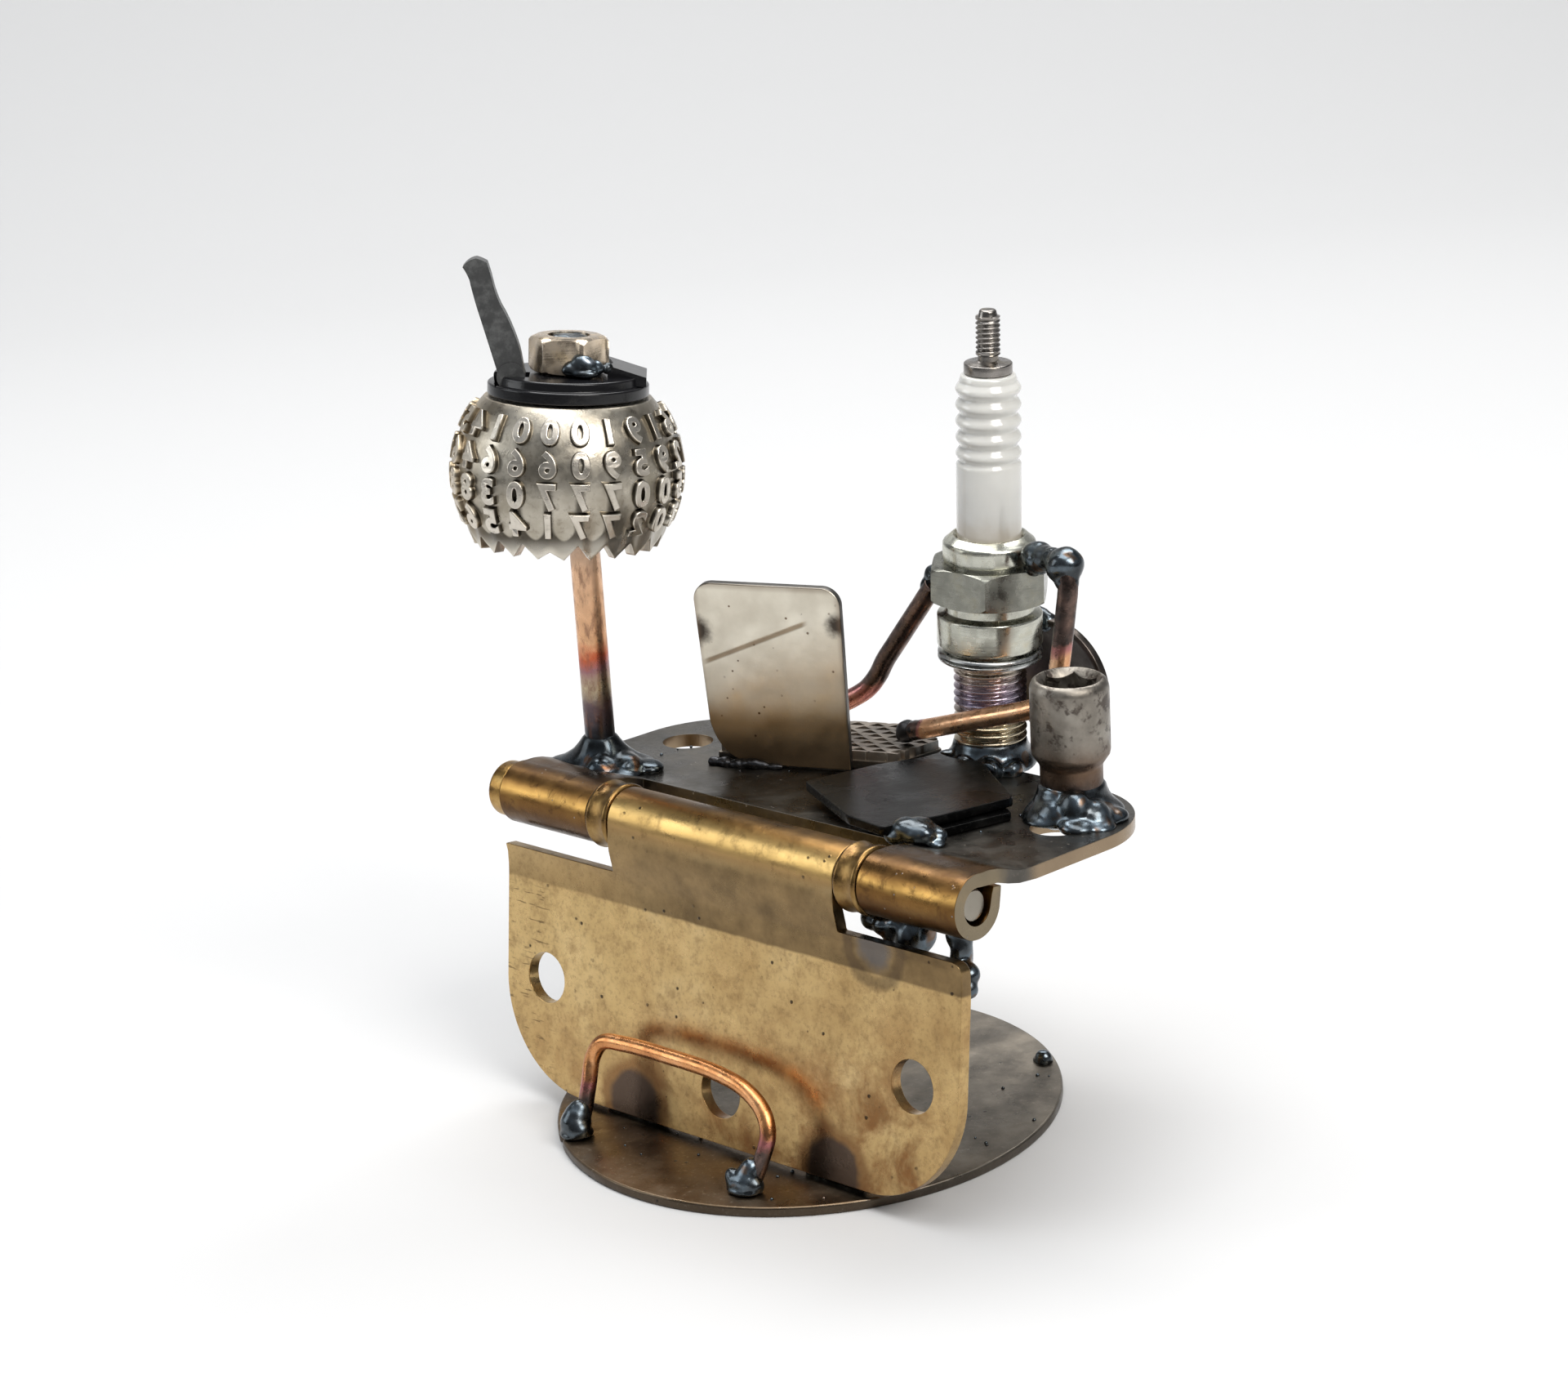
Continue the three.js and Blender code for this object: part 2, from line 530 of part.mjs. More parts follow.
// Nut over the cap, with the post's end welded into it
const NUT_CORNER = NUT_FLATS / Math.sqrt(3);
const NUT_TURN = -7.5;           // degrees
const nutPrism = hexagon(NUT_CORNER, NUT_BOTTOM, NUT_TOP, NUT_TURN);
const nutRound = turned([
  [0, NUT_BOTTOM], [NUT_CORNER - 0.5, NUT_BOTTOM], [NUT_CORNER, NUT_BOTTOM + 0.5],
  [NUT_CORNER, NUT_TOP - 0.6], [NUT_CORNER - 0.8, NUT_TOP], [0, NUT_TOP],
], 30);
const nutBore = bar([0, 0, NUT_BOTTOM - 1], [0, 0, NUT_TOP + 1], NUT_BORE, 24);
place(shade, 'lamp_top_nut', cut(nutPrism.intersect(nutRound), nutBore), materials.zinc);
const postRoom = bar([0, 0, -1], [0, 0, LAMP_POST_LENGTH + GAP], LAMP_POST_RADIUS + GAP, 24);
const postClear = moved(postRoom, lamp, shade);
const fillWeld = cut(lump([0, 0, NUT_TOP - 0.4], [NUT_BORE - GAP, NUT_BORE - GAP, 1.0], 12), postClear);
place(shade, 'lamp_nut_fill_weld', largest(fillWeld), materials.weld);
const nutSwollen = hexagon(NUT_CORNER + 1.2 * GAP, NUT_BOTTOM - GAP, NUT_TOP + GAP, NUT_TURN);
const capSlab = box([-AMPLE, -AMPLE, 0], [AMPLE, AMPLE, CAP_TOP + GAP]);
const nutWeld = cut(
  join(lump([1.8, -5.7, 15.2], [2.8, 1.5, 1.7]), lump([5.0, -3.9, 15.0], [1.3, 1.4, 1.1])),
  nutSwollen, capSlab,
);
place(shade, 'lamp_nut_weld', largest(nutWeld), materials.weld);

// Laptop lid and the pieces round it
const lid = groupIn(deskTop, [LID_FOOT[0], LID_FOOT[1], GAP], [0, 0, LID_YAW]);
const lidPlate = groupIn(lid, [0, 0, 0.2], [LID_LEAN, 0, 0]);
const lidShape = new THREE.Shape();
const lidHalf = LID_WIDTH / 2;
const LID_FOOT_CORNER = 6.5;
lidShape.moveTo(lidHalf - 0.5, 0);
lidShape.lineTo(lidHalf, LID_HEIGHT - LID_CORNER);
lidShape.absarc(lidHalf - LID_CORNER, LID_HEIGHT - LID_CORNER, LID_CORNER, 0, Math.PI / 2, false);
lidShape.absarc(-lidHalf + LID_CORNER, LID_HEIGHT - LID_CORNER, LID_CORNER, Math.PI / 2, Math.PI, false);
lidShape.lineTo(-lidHalf + 0.6, LID_FOOT_CORNER);
lidShape.quadraticCurveTo(-lidHalf + 1.6, 1.2, -lidHalf + 6.2, 0);
lidShape.closePath();
const lidSolid = slab(lidShape, LID_THICKNESS, X, Z);
place(lidPlate, 'laptop_lid', lidSolid, materials.lidSteel);

// The laptop's keyboard half: a base plate with a sheet of mesh on it
const lidFront = LID_THICKNESS / 2 + 0.5;
const baseOutline = [[-10.6, lidFront], [17.2, lidFront], [21.2, 9.6], [15.0, 16.6], [-10.6, 16.8]];
place(lid, 'laptop_base', plate(baseOutline, 0, PLATE_THICKNESS), materials.darkSteel);
const meshOutline = [
  [-10.2, lidFront + 0.4], [17.2, lidFront + 0.4], [18.4, 4.2], [21.0, 9.6], [14.9, 16.2], [-10.2, 16.4],
];
const MESH_BOTTOM = PLATE_THICKNESS + GAP;
place(lid, 'keyboard_mesh', plate(meshOutline, MESH_BOTTOM, MESH_THICKNESS), materials.darkSteel);
const keyboardClear = box([-30, 0, -5], [30, 30, MESH_BOTTOM + MESH_THICKNESS + GAP]);

const lidSwollen = lidSolid.scale([1.03, 1 + (2 * GAP) / LID_THICKNESS, 1]).translate([0, 0, -GAP]);
const lidClear = moved(lidSwollen, lidPlate, lid);
const lidWeldBlank = join(
  lump([-4.6, -1.1, 0], [3.4, 1.3, 1.2]),
  lump([-8.6, -1.0, 0], [1.6, 1.2, 1.1]),
  lump([-6.6, -1.1, 0], [2.0, 1.2, 1.0]),
);
const lidFloor = box([-AMPLE, -AMPLE, -AMPLE], [AMPLE, AMPLE, 0]);
place(lid, 'lid_weld', largest(cut(lidWeldBlank, lidClear, lidFloor)), materials.weld);

// Two black plates stacked on the desk in front of the keyboard
const LOWER_PAD_THICKNESS = 1.0;
const lowerPadOutline = [
  [11.3, 14.4], [23.3, 10.4], [26.5, 13.8], [29.1, 24.8], [19.9, 31.0], [12.9, 35.4], [8.3, 29.4],
];
place(deskTop, 'desk_pad_lower', plate(lowerPadOutline, GAP, LOWER_PAD_THICKNESS), materials.blackPlate);

const upperPadOutline = [
  [8.6, 13.6], [22.3, 5.7], [25.4, 14.4], [28.0, 26.6], [19.6, 32.4],
  [11.6, 38.0], [5.4, 42.2], [4.6, 33.6], [1.6, 27.2],
];
const upperPadBottom = GAP + LOWER_PAD_THICKNESS + GAP;
const keyboardRoom = plate([
  [-10.9, -1], [17.5, -1], [18.9, 4.0], [21.8, 9.6], [15.3, 17.0], [-10.9, 17.2],
], -1, 8);
const plugRoom = bar([...PLUG_BASE, -5], [...PLUG_BASE, 9], 7.9, 24);
const upperPad = cut(
  plate(upperPadOutline, upperPadBottom, PLATE_THICKNESS),
  moved(keyboardRoom, lid, deskTop), plugRoom,
);
place(deskTop, 'desk_pad_upper', largest(upperPad), materials.blackPlate);

const padStackTop = upperPadBottom + PLATE_THICKNESS + GAP;
const padStack = join(
  plate(shifted(upperPadOutline, GAP, 0), -1, padStackTop + 1),
  plate(shifted(lowerPadOutline, GAP, -GAP), -1, padStackTop + 1),
);
const padWeld = cut(join(
  lump([25.6, 10.2, 1.4], [3.2, 2.4, 3.0]),
  lump([24.2, 7.6, 1.6], [2.6, 2.0, 2.6]),
  lump([23.8, 9.6, 3.4], [2.6, 2.4, 1.1]),
), padStack, deskClear);
place(deskTop, 'desk_pad_weld', largest(padWeld), materials.weld);

// Mug: a small socket with a hexagonal mouth
const mug = standOnDesk(MUG_BASE, MUG_LEAN);
const mugBody = turned([
  [0, 0.9], [MUG_FOOT_RADIUS, 0.9], [MUG_FOOT_RADIUS, 7.4], [MUG_RADIUS - 0.45, 8.6], [MUG_RADIUS, 9.2],
  [MUG_RADIUS, MUG_TOP - 1.1], [MUG_RADIUS - 0.65, MUG_TOP], [0, MUG_TOP],
], 32);
const mugMouth = turned([
  [0, MUG_TOP - MUG_MOUTH_DEPTH], [MUG_MOUTH_CORNER, MUG_TOP - MUG_MOUTH_DEPTH],
  [MUG_MOUTH_CORNER, MUG_TOP + 1], [0, MUG_TOP + 1],
], 6);
place(mug, 'mug_socket', cut(mugBody, mugMouth), materials.socketSteel);
collarWeld(mug, 'mug_weld', MUG_FOOT_RADIUS, 6.7, 4.6);

// Spark plug
const plug = standOnDesk(PLUG_BASE, PLUG_LEAN);
const THREAD_RADIUS = 5.3;
const SEAT = 18.2;
const HEX_LOW = 25.3;
const HEX_HIGH = 30.9;
const HEX_CORNER = 9.3;
const HEX_TURN = 7;              // degrees
const BODY_RADIUS = 7.6;
const COLLAR_RADIUS = 6.7;
const COLLAR_TOP = 34.9;
const INSULATOR_RADIUS = 4.65;
const INSULATOR_NOSE = 3.0;
const shellTurned = turned([
  [THREAD_RADIUS, 0.6], [THREAD_RADIUS, SEAT], [BODY_RADIUS, SEAT + 0.4], [BODY_RADIUS, 23.4], [6.5, 23.9],
  [6.5, HEX_LOW - 0.2], [COLLAR_RADIUS, HEX_HIGH + 0.4], [COLLAR_RADIUS, COLLAR_TOP - 1.4],
  [COLLAR_RADIUS - 0.9, COLLAR_TOP], [INSULATOR_RADIUS + GAP, COLLAR_TOP - 0.5],
  [INSULATOR_RADIUS + GAP, SEAT + 2], [4.0, SEAT - 2], [4.0, 0.6],
], 28);
const hexPrism = hexagon(HEX_CORNER, HEX_LOW, HEX_HIGH, HEX_TURN);
const hexRound = turned([
  [0, HEX_LOW], [HEX_CORNER - 0.9, HEX_LOW], [HEX_CORNER, HEX_LOW + 0.6],
  [HEX_CORNER, HEX_HIGH - 0.6], [HEX_CORNER - 0.9, HEX_HIGH], [0, HEX_HIGH],
], 24);
const hexBore = bar([0, 0, 0], [0, 0, AMPLE], INSULATOR_RADIUS + GAP, 28);
const plugShell = join(shellTurned, cut(hexPrism.intersect(hexRound), hexBore));
place(plug, 'plug_shell', plugShell, materials.zinc);

const RIB_HEIGHTS = [46.8, 49.2, 51.6, 53.9, 56.2];
const RIB_PITCH = 2.35;
const ribs = RIB_HEIGHTS.flatMap((z) => [[4.05, z - RIB_PITCH / 2], [4.6, z]]);
const CORE_BORE = 1.6;
const insulator = turned([
  [CORE_BORE, INSULATOR_NOSE], [2.4, INSULATOR_NOSE], [3.5, SEAT - 3], [3.7, SEAT - 1.2],
  [INSULATOR_RADIUS, SEAT + 3], [INSULATOR_RADIUS, RIB_HEIGHTS[0] - 1.6],
  ...ribs, [4.0, 57.4], [3.45, 58.2], [CORE_BORE, 58.2],
], 24);
place(plug, 'plug_insulator', insulator, materials.ceramic);
const STUD_RADIUS = 1.75;
const stud = turned([
  [0, 40], [CORE_BORE - GAP, 40], [CORE_BORE - GAP, 58.5], [3.4, 58.5], [3.4, 59.9], [1.5, 59.9], [1.5, 61.0],
  [STUD_RADIUS, 61.3], [STUD_RADIUS, 66.2], [1.35, 66.3], [1.0, 67.5], [0, 67.5],
], 18);
place(plug, 'plug_terminal_stud', stud, materials.zinc);
place(plug, 'plug_resistor', bar([0, 0, 26.3], [0, 0, 39.7], CORE_BORE - GAP, 16), materials.blackPlate);
place(plug, 'plug_center_electrode', bar([0, 0, 1.4], [0, 0, 26.0], 1.2, 16), materials.zinc);
const GASKET_BORE = THREAD_RADIUS + 0.35;
const gasket = turned([
  [GASKET_BORE, 16.4], [GASKET_BORE + 1.4, 16.1], [BODY_RADIUS, 16.6], [BODY_RADIUS, 17.3],
  [GASKET_BORE + 1.4, 17.85], [GASKET_BORE, 17.5],
], 28);
place(plug, 'plug_gasket', gasket, materials.zinc);
collarWeld(plug, 'plug_weld', THREAD_RADIUS + 0.1, 7.4, 4.4);

// Arms: two bent rods welded to the hexagon
const RIGHT_ARM = [
  [27.4, 31.4, 77.9], [28.8, 30.5, 77.5], [29.5, 30.0, 75.3], [29.4, 29.2, 71.2], [29.2, 28.5, 67.6],
  [28.9, 27.8, 63.9], [28.4, 27.2, 60.4], [26.9, 26.7, 58.3], [23.8, 26.3, 56.9],
  [15.3, 25.6, 54.3], [6.7, 25.6, 51.5], [1.6, 25.8, 49.9],
];
const LEFT_ARM = [
  [5.2, 29.0, 72.0], [0.6, 28.6, 66.1], [-2.7, 28.1, 61.7], [-4.5, 27.7, 59.2],
  [-5.9, 27.3, 56.7], [-7.9, 26.9, 54.4], [-11.0, 26.2, 52.4], [-14.6, 25.2, 50.6],
];
const hexClear = hexagon(HEX_CORNER + 1.2 * GAP, HEX_LOW - GAP, HEX_HIGH + GAP, HEX_TURN);
const collarClear = bar([0, 0, 23], [0, 0, COLLAR_TOP + GAP], COLLAR_RADIUS + GAP, 30);
const plugHeadInRow = moved(join(hexClear, collarClear), plug, sculpture);
place(sculpture, 'arm_right', rod(RIGHT_ARM, ROD_RADIUS, 8, 26), materials.copper);
place(sculpture, 'arm_left', cut(rod(LEFT_ARM, ROD_RADIUS, 8, 18), plugHeadInRow), materials.copper);
const ARM_CLEAR = ROD_RADIUS + GAP + 0.1;
const rightClear = rod(RIGHT_ARM.slice(0, 4), ARM_CLEAR, 8, 8);
const handClear = bar(RIGHT_ARM.at(-1), RIGHT_ARM.at(-2), ARM_CLEAR, 10);
const leftClear = bar(LEFT_ARM[0], LEFT_ARM[1], ARM_CLEAR, 10);
const shoulderRight = cut(join(
  lump([21.8, 33.4, 77.4], [3.4, 3.0, 3.1]),
  lump([24.9, 32.4, 77.7], [3.0, 2.3, 2.4]),
  lump([28.6, 30.8, 77.9], [3.1, 3.0, 3.0]),
), plugHeadInRow, rightClear, lump(RIGHT_ARM[0], [ARM_CLEAR, ARM_CLEAR, ARM_CLEAR], 5));
place(sculpture, 'shoulder_weld_right', largest(shoulderRight), materials.weld);
const shoulderLeft = cut(lump([4.3, 30.6, 73.0], [2.9, 3.0, 2.6]), plugHeadInRow, leftClear);
place(sculpture, 'shoulder_weld_left', largest(shoulderLeft), materials.weld);
const handWeld = cut(
  lump([0.2, 25.9, 49.6], [2.0, 1.9, 1.9]), handClear,
  moved(keyboardClear, lid, sculpture),
);
place(sculpture, 'hand_weld_right', largest(handWeld), materials.weld);

// Chair back: a small disc behind the plug, welded to its body
const CHAIR_RADIUS = 9.5;
const chair = groupIn(sculpture, [15.6, 42.2, 55.3], [4, 0, 0]);
const chairDisc = bar([0, -0.7, 0], [0, 0.7, 0], CHAIR_RADIUS, 36);
place(chair, 'chair_back_disc', chairDisc, materials.darkSteel);
const bodyInRow = moved(bar([0, 0, 14], [0, 0, 24], BODY_RADIUS + GAP, 30), plug, sculpture);
const chairClear = moved(bar([0, -1.0, 0], [0, 1.0, 0], CHAIR_RADIUS + GAP, 36), chair, sculpture);
const chairWeld = cut(lump([12.6, 41.9, 64.9], [3.6, 2.4, 2.4]), bodyInRow, chairClear);
place(sculpture, 'chair_weld', largest(chairWeld), materials.weld);

export default sculpture;
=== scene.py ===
"""Looks of the welded desk sculpture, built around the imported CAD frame."""
import math
import json

import bmesh
import bpy
import numpy as np
from mathutils import Matrix, Vector, noise


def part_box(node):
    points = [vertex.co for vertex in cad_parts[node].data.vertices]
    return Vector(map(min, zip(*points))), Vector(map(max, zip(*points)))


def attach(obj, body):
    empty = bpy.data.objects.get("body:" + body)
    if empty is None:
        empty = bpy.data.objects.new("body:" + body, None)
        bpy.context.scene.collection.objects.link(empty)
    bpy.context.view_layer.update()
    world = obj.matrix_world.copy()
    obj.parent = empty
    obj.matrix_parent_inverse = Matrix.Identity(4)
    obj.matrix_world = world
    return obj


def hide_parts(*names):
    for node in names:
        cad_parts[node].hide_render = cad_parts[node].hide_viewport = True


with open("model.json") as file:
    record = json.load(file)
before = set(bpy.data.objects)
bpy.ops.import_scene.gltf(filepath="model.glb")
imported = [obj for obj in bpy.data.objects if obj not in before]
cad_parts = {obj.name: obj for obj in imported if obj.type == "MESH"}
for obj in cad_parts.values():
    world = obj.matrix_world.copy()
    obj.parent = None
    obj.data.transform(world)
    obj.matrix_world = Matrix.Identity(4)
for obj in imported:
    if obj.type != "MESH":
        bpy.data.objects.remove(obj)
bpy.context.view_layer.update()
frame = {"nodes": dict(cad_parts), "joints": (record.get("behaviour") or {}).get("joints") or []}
MM = 0.001
ROOT = "sculpture"
RELAX_FACTOR = 0.7

# ---- Driving dimensions, in millimetres, as the CAD frame has them ----
HINGE_LENGTH = 88.9
HALF = HINGE_LENGTH / 2
DESK_REACH = 43.4
UPRIGHT_REACH = 43.0
LEAF_THICKNESS = 2.0
LEAF_OFFSET = 2.63
SWAGE_REACH = 12.0
BARREL_RADIUS = 4.6
BORE_RADIUS = 2.6
PIN_RADIUS = 2.3
PIN_HEAD_LENGTH = 2.9
PIN_HEAD_RADIUS = 4.1
PIN_END = HALF - 0.6
RING_RADIUS = 4.95
RING_GROOVE = 0.22
RING_CLEARANCE = 0.15
CORNER_RADIUS = 16.2
HOLE_RADIUS = 3.75
SCREW_HOLES = [(-36.05, 26.2), (36.05, 26.2), (0, 35.3)]
NOTCH_REACH = 7.3
NOTCH_CORNER = 1.5
CENTRE_KNUCKLE = (-21.7, 22.3)
LEFT_KNUCKLE = (-HALF, -26.2)
RIGHT_KNUCKLE = (26.7, HALF)
GAP = 0.3

BALL_RADIUS = 16.0
BALL_INNER = 14.2
BALL_TOP = 10.65
BALL_TIP = -10.7
TEETH = 22
TOOTH_DEPTH = 2.3
STRAIGHT_BELOW = -6.4
STRAIGHT_SLOPE = 0.30


# ---- Frames, measured on the CAD nodes ----
def points_of(node):
    """The corners of a CAD node, in metres."""
    return np.array([v.co for v in frame["nodes"][node].data.vertices], float)


def basis(origin, x, y, z):
    """A matrix with these axes at a place."""
    matrix = Matrix((x, y, z)).transposed().to_4x4()
    matrix.translation = origin
    return matrix


def spin_axis(node, up):
    """The low end and the direction of a turned node's axis."""
    points = points_of(node)
    middle = points.mean(0)
    spread, axes = np.linalg.eigh(np.cov((points - middle).T))
    axis = axes[:, 0] if spread[1] - spread[0] > spread[2] - spread[1] else axes[:, 2]
    axis = axis * np.sign(axis @ np.array(up))
    low = middle + axis * ((points - middle) @ axis).min()
    return Vector(low), Vector(axis)


def flat_normal(node, towards):
    """The direction that the largest flat face of a node looks, on one side of it."""
    areas = {}
    for face in frame["nodes"][node].data.polygons:
        if face.normal.dot(Vector(towards)) > 0.5:
            key = tuple(round(c, 3) for c in face.normal)
            total, sum_of = areas.get(key, (0.0, Vector()))
            areas[key] = (total + face.area, sum_of + face.normal * face.area)
    return max(areas.values(), key=lambda entry: entry[0])[1].normalized()


def upright_frame(node, bottom):
    """A frame on a turned node's axis, whose zero is a given number of mm under the low end."""
    low, axis = spin_axis(node, (0, 0, 1))
    side = Vector((1, 0, 0))
    side = (side - axis * side.dot(axis)).normalized()
    return basis(low - axis * bottom * MM, side, axis.cross(side), axis)


pin_low, pin_axis = spin_axis("hinge_pin", (1, 0, 0))
pin_middle = pin_low + pin_axis * (HALF + GAP + PIN_HEAD_LENGTH) * MM
hinge_up = pin_axis.cross(Vector((0, 1, 0))).normalized()
HINGE = basis(pin_middle, pin_axis, hinge_up.cross(pin_axis), hinge_up)
front_normal = flat_normal("upright_leaf", (0, -1, 0))
UPRIGHT = basis(pin_middle, pin_axis, -front_normal, pin_axis.cross(-front_normal))
top_normal = flat_normal("desk_leaf", (0, 0, 1))
DESK = basis(pin_middle, pin_axis, top_normal.cross(pin_axis), top_normal)
DESK_TOP = DESK @ Matrix.Translation((0, 0, LEAF_OFFSET * MM))
LAMP = upright_frame("lamp_post", 1.6)
MUG = upright_frame("mug_socket", 0.9)

joints = {joint["name"]: joint for joint in frame["joints"]}
ball_low, ball_axis = spin_axis("shade_ball", (0, 0, 1))
ball_back = -Vector(joints["lever_pivot"]["axis"])
ball_centre = ball_low - ball_axis * BALL_TIP * MM
SHADE = basis(ball_centre, ball_back.cross(ball_axis), ball_back, ball_axis)

plug_axis = Vector(joints["gasket_spin"]["axis"]).normalized()
plug_low, _ = spin_axis("plug_shell", (0, 0, 1))
plug_pin = Vector(joints["gasket_spin"]["pos_m"])
plug_foot = plug_pin + plug_axis * (plug_low - plug_pin).dot(plug_axis)
plug_side = (Vector((1, 0, 0)) - plug_axis * plug_axis.x).normalized()
PLUG = basis(plug_foot - plug_axis * 0.6 * MM, plug_side, plug_axis.cross(plug_side), plug_axis)
WORLD = Matrix.Identity(4)


# ---- Mesh helpers. Shapes are drawn in millimetres in a frame of their own ----
def new_object(name, bm, place=WORLD):
    """An object from a bmesh drawn in millimetres."""
    bmesh.ops.scale(bm, vec=(MM, MM, MM), verts=bm.verts)
    bmesh.ops.recalc_face_normals(bm, faces=bm.faces)
    mesh = bpy.data.meshes.new(name)
    bm.to_mesh(mesh)
    bm.free()
    obj = bpy.data.objects.new(name, mesh)
    bpy.context.scene.collection.objects.link(obj)
    obj.matrix_world = place
    return obj


def apply_modifiers(obj):
    """Bakes a piece's modifiers into its mesh."""
    graph = bpy.context.evaluated_depsgraph_get()
    mesh = bpy.data.meshes.new_from_object(obj.evaluated_get(graph))
    old = obj.data
    obj.modifiers.clear()
    obj.data = mesh
    bpy.data.meshes.remove(old)


def cut(obj, shape, place, operation="DIFFERENCE"):
    """Cuts obj by a bmesh drawn at a place, or joins or intersects the two."""
    tool = new_object("tool", shape, place)
    bpy.context.view_layer.update()
    modifier = obj.modifiers.new("boolean", "BOOLEAN")
    modifier.operation = operation
    modifier.solver = "EXACT"
    modifier.object = tool
    apply_modifiers(obj)
    mesh = tool.data
    bpy.data.objects.remove(tool)
    bpy.data.meshes.remove(mesh)


def bevel(obj, width, segments=2, angle=32):
    """Rounds every edge sharper than an angle, by a width in millimetres."""
    modifier = obj.modifiers.new("bevel", "BEVEL")
    modifier.width = width * MM
    modifier.segments = segments
    modifier.limit_method = "ANGLE"
    modifier.angle_limit = math.radians(angle)
    modifier.use_clamp_overlap = True
    modifier.miter_outer = "MITER_ARC"
    apply_modifiers(obj)


def smooth(obj, angle=38):
    """Smooth shading, with edges sharper than an angle kept sharp."""
    obj.data.shade_smooth()
    obj.data.set_sharp_from_angle(angle=math.radians(angle))
    if any(len(face.vertices) > 4 for face in obj.data.polygons):
        obj.modifiers.new("normals", "WEIGHTED_NORMAL").keep_sharp = True
        apply_modifiers(obj)


def grid_faces(bm, rings, closed_rings, closed_strip):
    """Joins rows of vertices with quads."""
    rows = len(rings)
    for i in range(rows if closed_strip else rows - 1):
        low, high = rings[i], rings[(i + 1) % rows]
        count = len(low)
        for j in range(count if closed_rings else count - 1):
            k = (j + 1) % count
            corners = [low[j], low[k], high[k], high[j]]
            distinct = [v for n, v in enumerate(corners) if v not in corners[:n]]
            if len(distinct) > 2:
                bm.faces.new(distinct)


def lathe(profile, segments=96, radius_at=None):
    """A solid of revolution from [radius, height] points that close on themselves or the axis."""
    bm = bmesh.new()
    rings = []
    for radius, z in profile:
        if radius < 1e-6:
            point = bm.verts.new((0, 0, z))
            rings.append([point] * segments)
            continue
        ring = []
        for j in range(segments):
            angle = 2 * math.pi * j / segments
            r = radius_at(radius, angle, z) if radius_at else radius
            ring.append(bm.verts.new((r * math.cos(angle), r * math.sin(angle), z)))
        rings.append(ring)
    grid_faces(bm, rings, True, profile[0][0] > 1e-6)
    return bm


def arc(cx, cy, radius, start, end, steps):
    """Points of an arc between two angles in degrees."""
    angles = [math.radians(start + (end - start) * i / steps) for i in range(steps + 1)]
    return [(cx + radius * math.cos(a), cy + radius * math.sin(a)) for a in angles]


def prism(outline, low, high, u=(1, 0, 0), v=(0, 1, 0)):
    """An outline in the u and v directions, from one height to another along u x v."""
    u, v = Vector(u), Vector(v)
    w = u.cross(v)
    bm = bmesh.new()
    bottom = [bm.verts.new(u * x + v * y + w * low) for x, y in outline]
    face = bm.faces.new(bottom)
    raised = bmesh.ops.extrude_face_region(bm, geom=[face])["geom"]
    corners = [part for part in raised if isinstance(part, bmesh.types.BMVert)]
    bmesh.ops.translate(bm, vec=w * (high - low), verts=corners)
    return bm


def cylinder(start, end, radius, segments=48):
    """A round bar with flat ends, from one point to another."""
    start, end = Vector(start), Vector(end)
    axis = (end - start).normalized()
    side = axis.orthogonal().normalized()
    other = axis.cross(side)
    bm = bmesh.new()
    rings = []
    for place in (start, end):
        ring = []
        for x, y in arc(0, 0, radius, 0, 360 - 360 / segments, segments - 1):
            ring.append(bm.verts.new(place + side * x + other * y))
        rings.append(ring)
    grid_faces(bm, rings, True, False)
    bm.faces.new(rings[0])
    bm.faces.new(rings[1])
    return bm


def spline(points, samples):
    """Points along a smooth centripetal curve through the given points."""
    knots = [Vector(p) for p in points]
    padded = [knots[0] * 2 - knots[1], *knots, knots[-1] * 2 - knots[-2]]
    times = [0.0]
    for a, b in zip(padded, padded[1:]):
        times.append(times[-1] + math.sqrt((b - a).length))
    line = []
    for i in range(samples + 1):
        t = times[1] + (times[-2] - times[1]) * i / samples
        k = max(n for n in range(1, len(knots)) if times[n] <= t + 1e-9)
        line.append(catmull(padded[k - 1:k + 3], times[k - 1:k + 3], t))
    return line


def catmull(points, times, t):
    """One point of a centripetal Catmull-Rom curve."""
    level = list(points)
    first = [mixed(level[i], level[i + 1], times[i], times[i + 1], t) for i in range(3)]
    second = [mixed(first[i], first[i + 1], times[i], times[i + 2], t) for i in range(2)]
    return mixed(second[0], second[1], times[1], times[2], t)


def mixed(a, b, start, end, t):
    """The point between a, at time start, and b, at time end."""
    share = (t - start) / (end - start)
    return a * (1 - share) + b * share


def bend(a, b, c, t):
    """A point of the curve from a to c that leans towards b."""
    return tuple((1 - t) ** 2 * a + 2 * t * (1 - t) * b + t * t * c)


def round_points(radius, count, turn=0.0):
    """Evenly spaced points on a circle, from an angle in degrees."""
    angles = np.radians(np.arange(count) * 360 / count + turn)
    return [(radius * math.cos(a), radius * math.sin(a)) for a in angles]


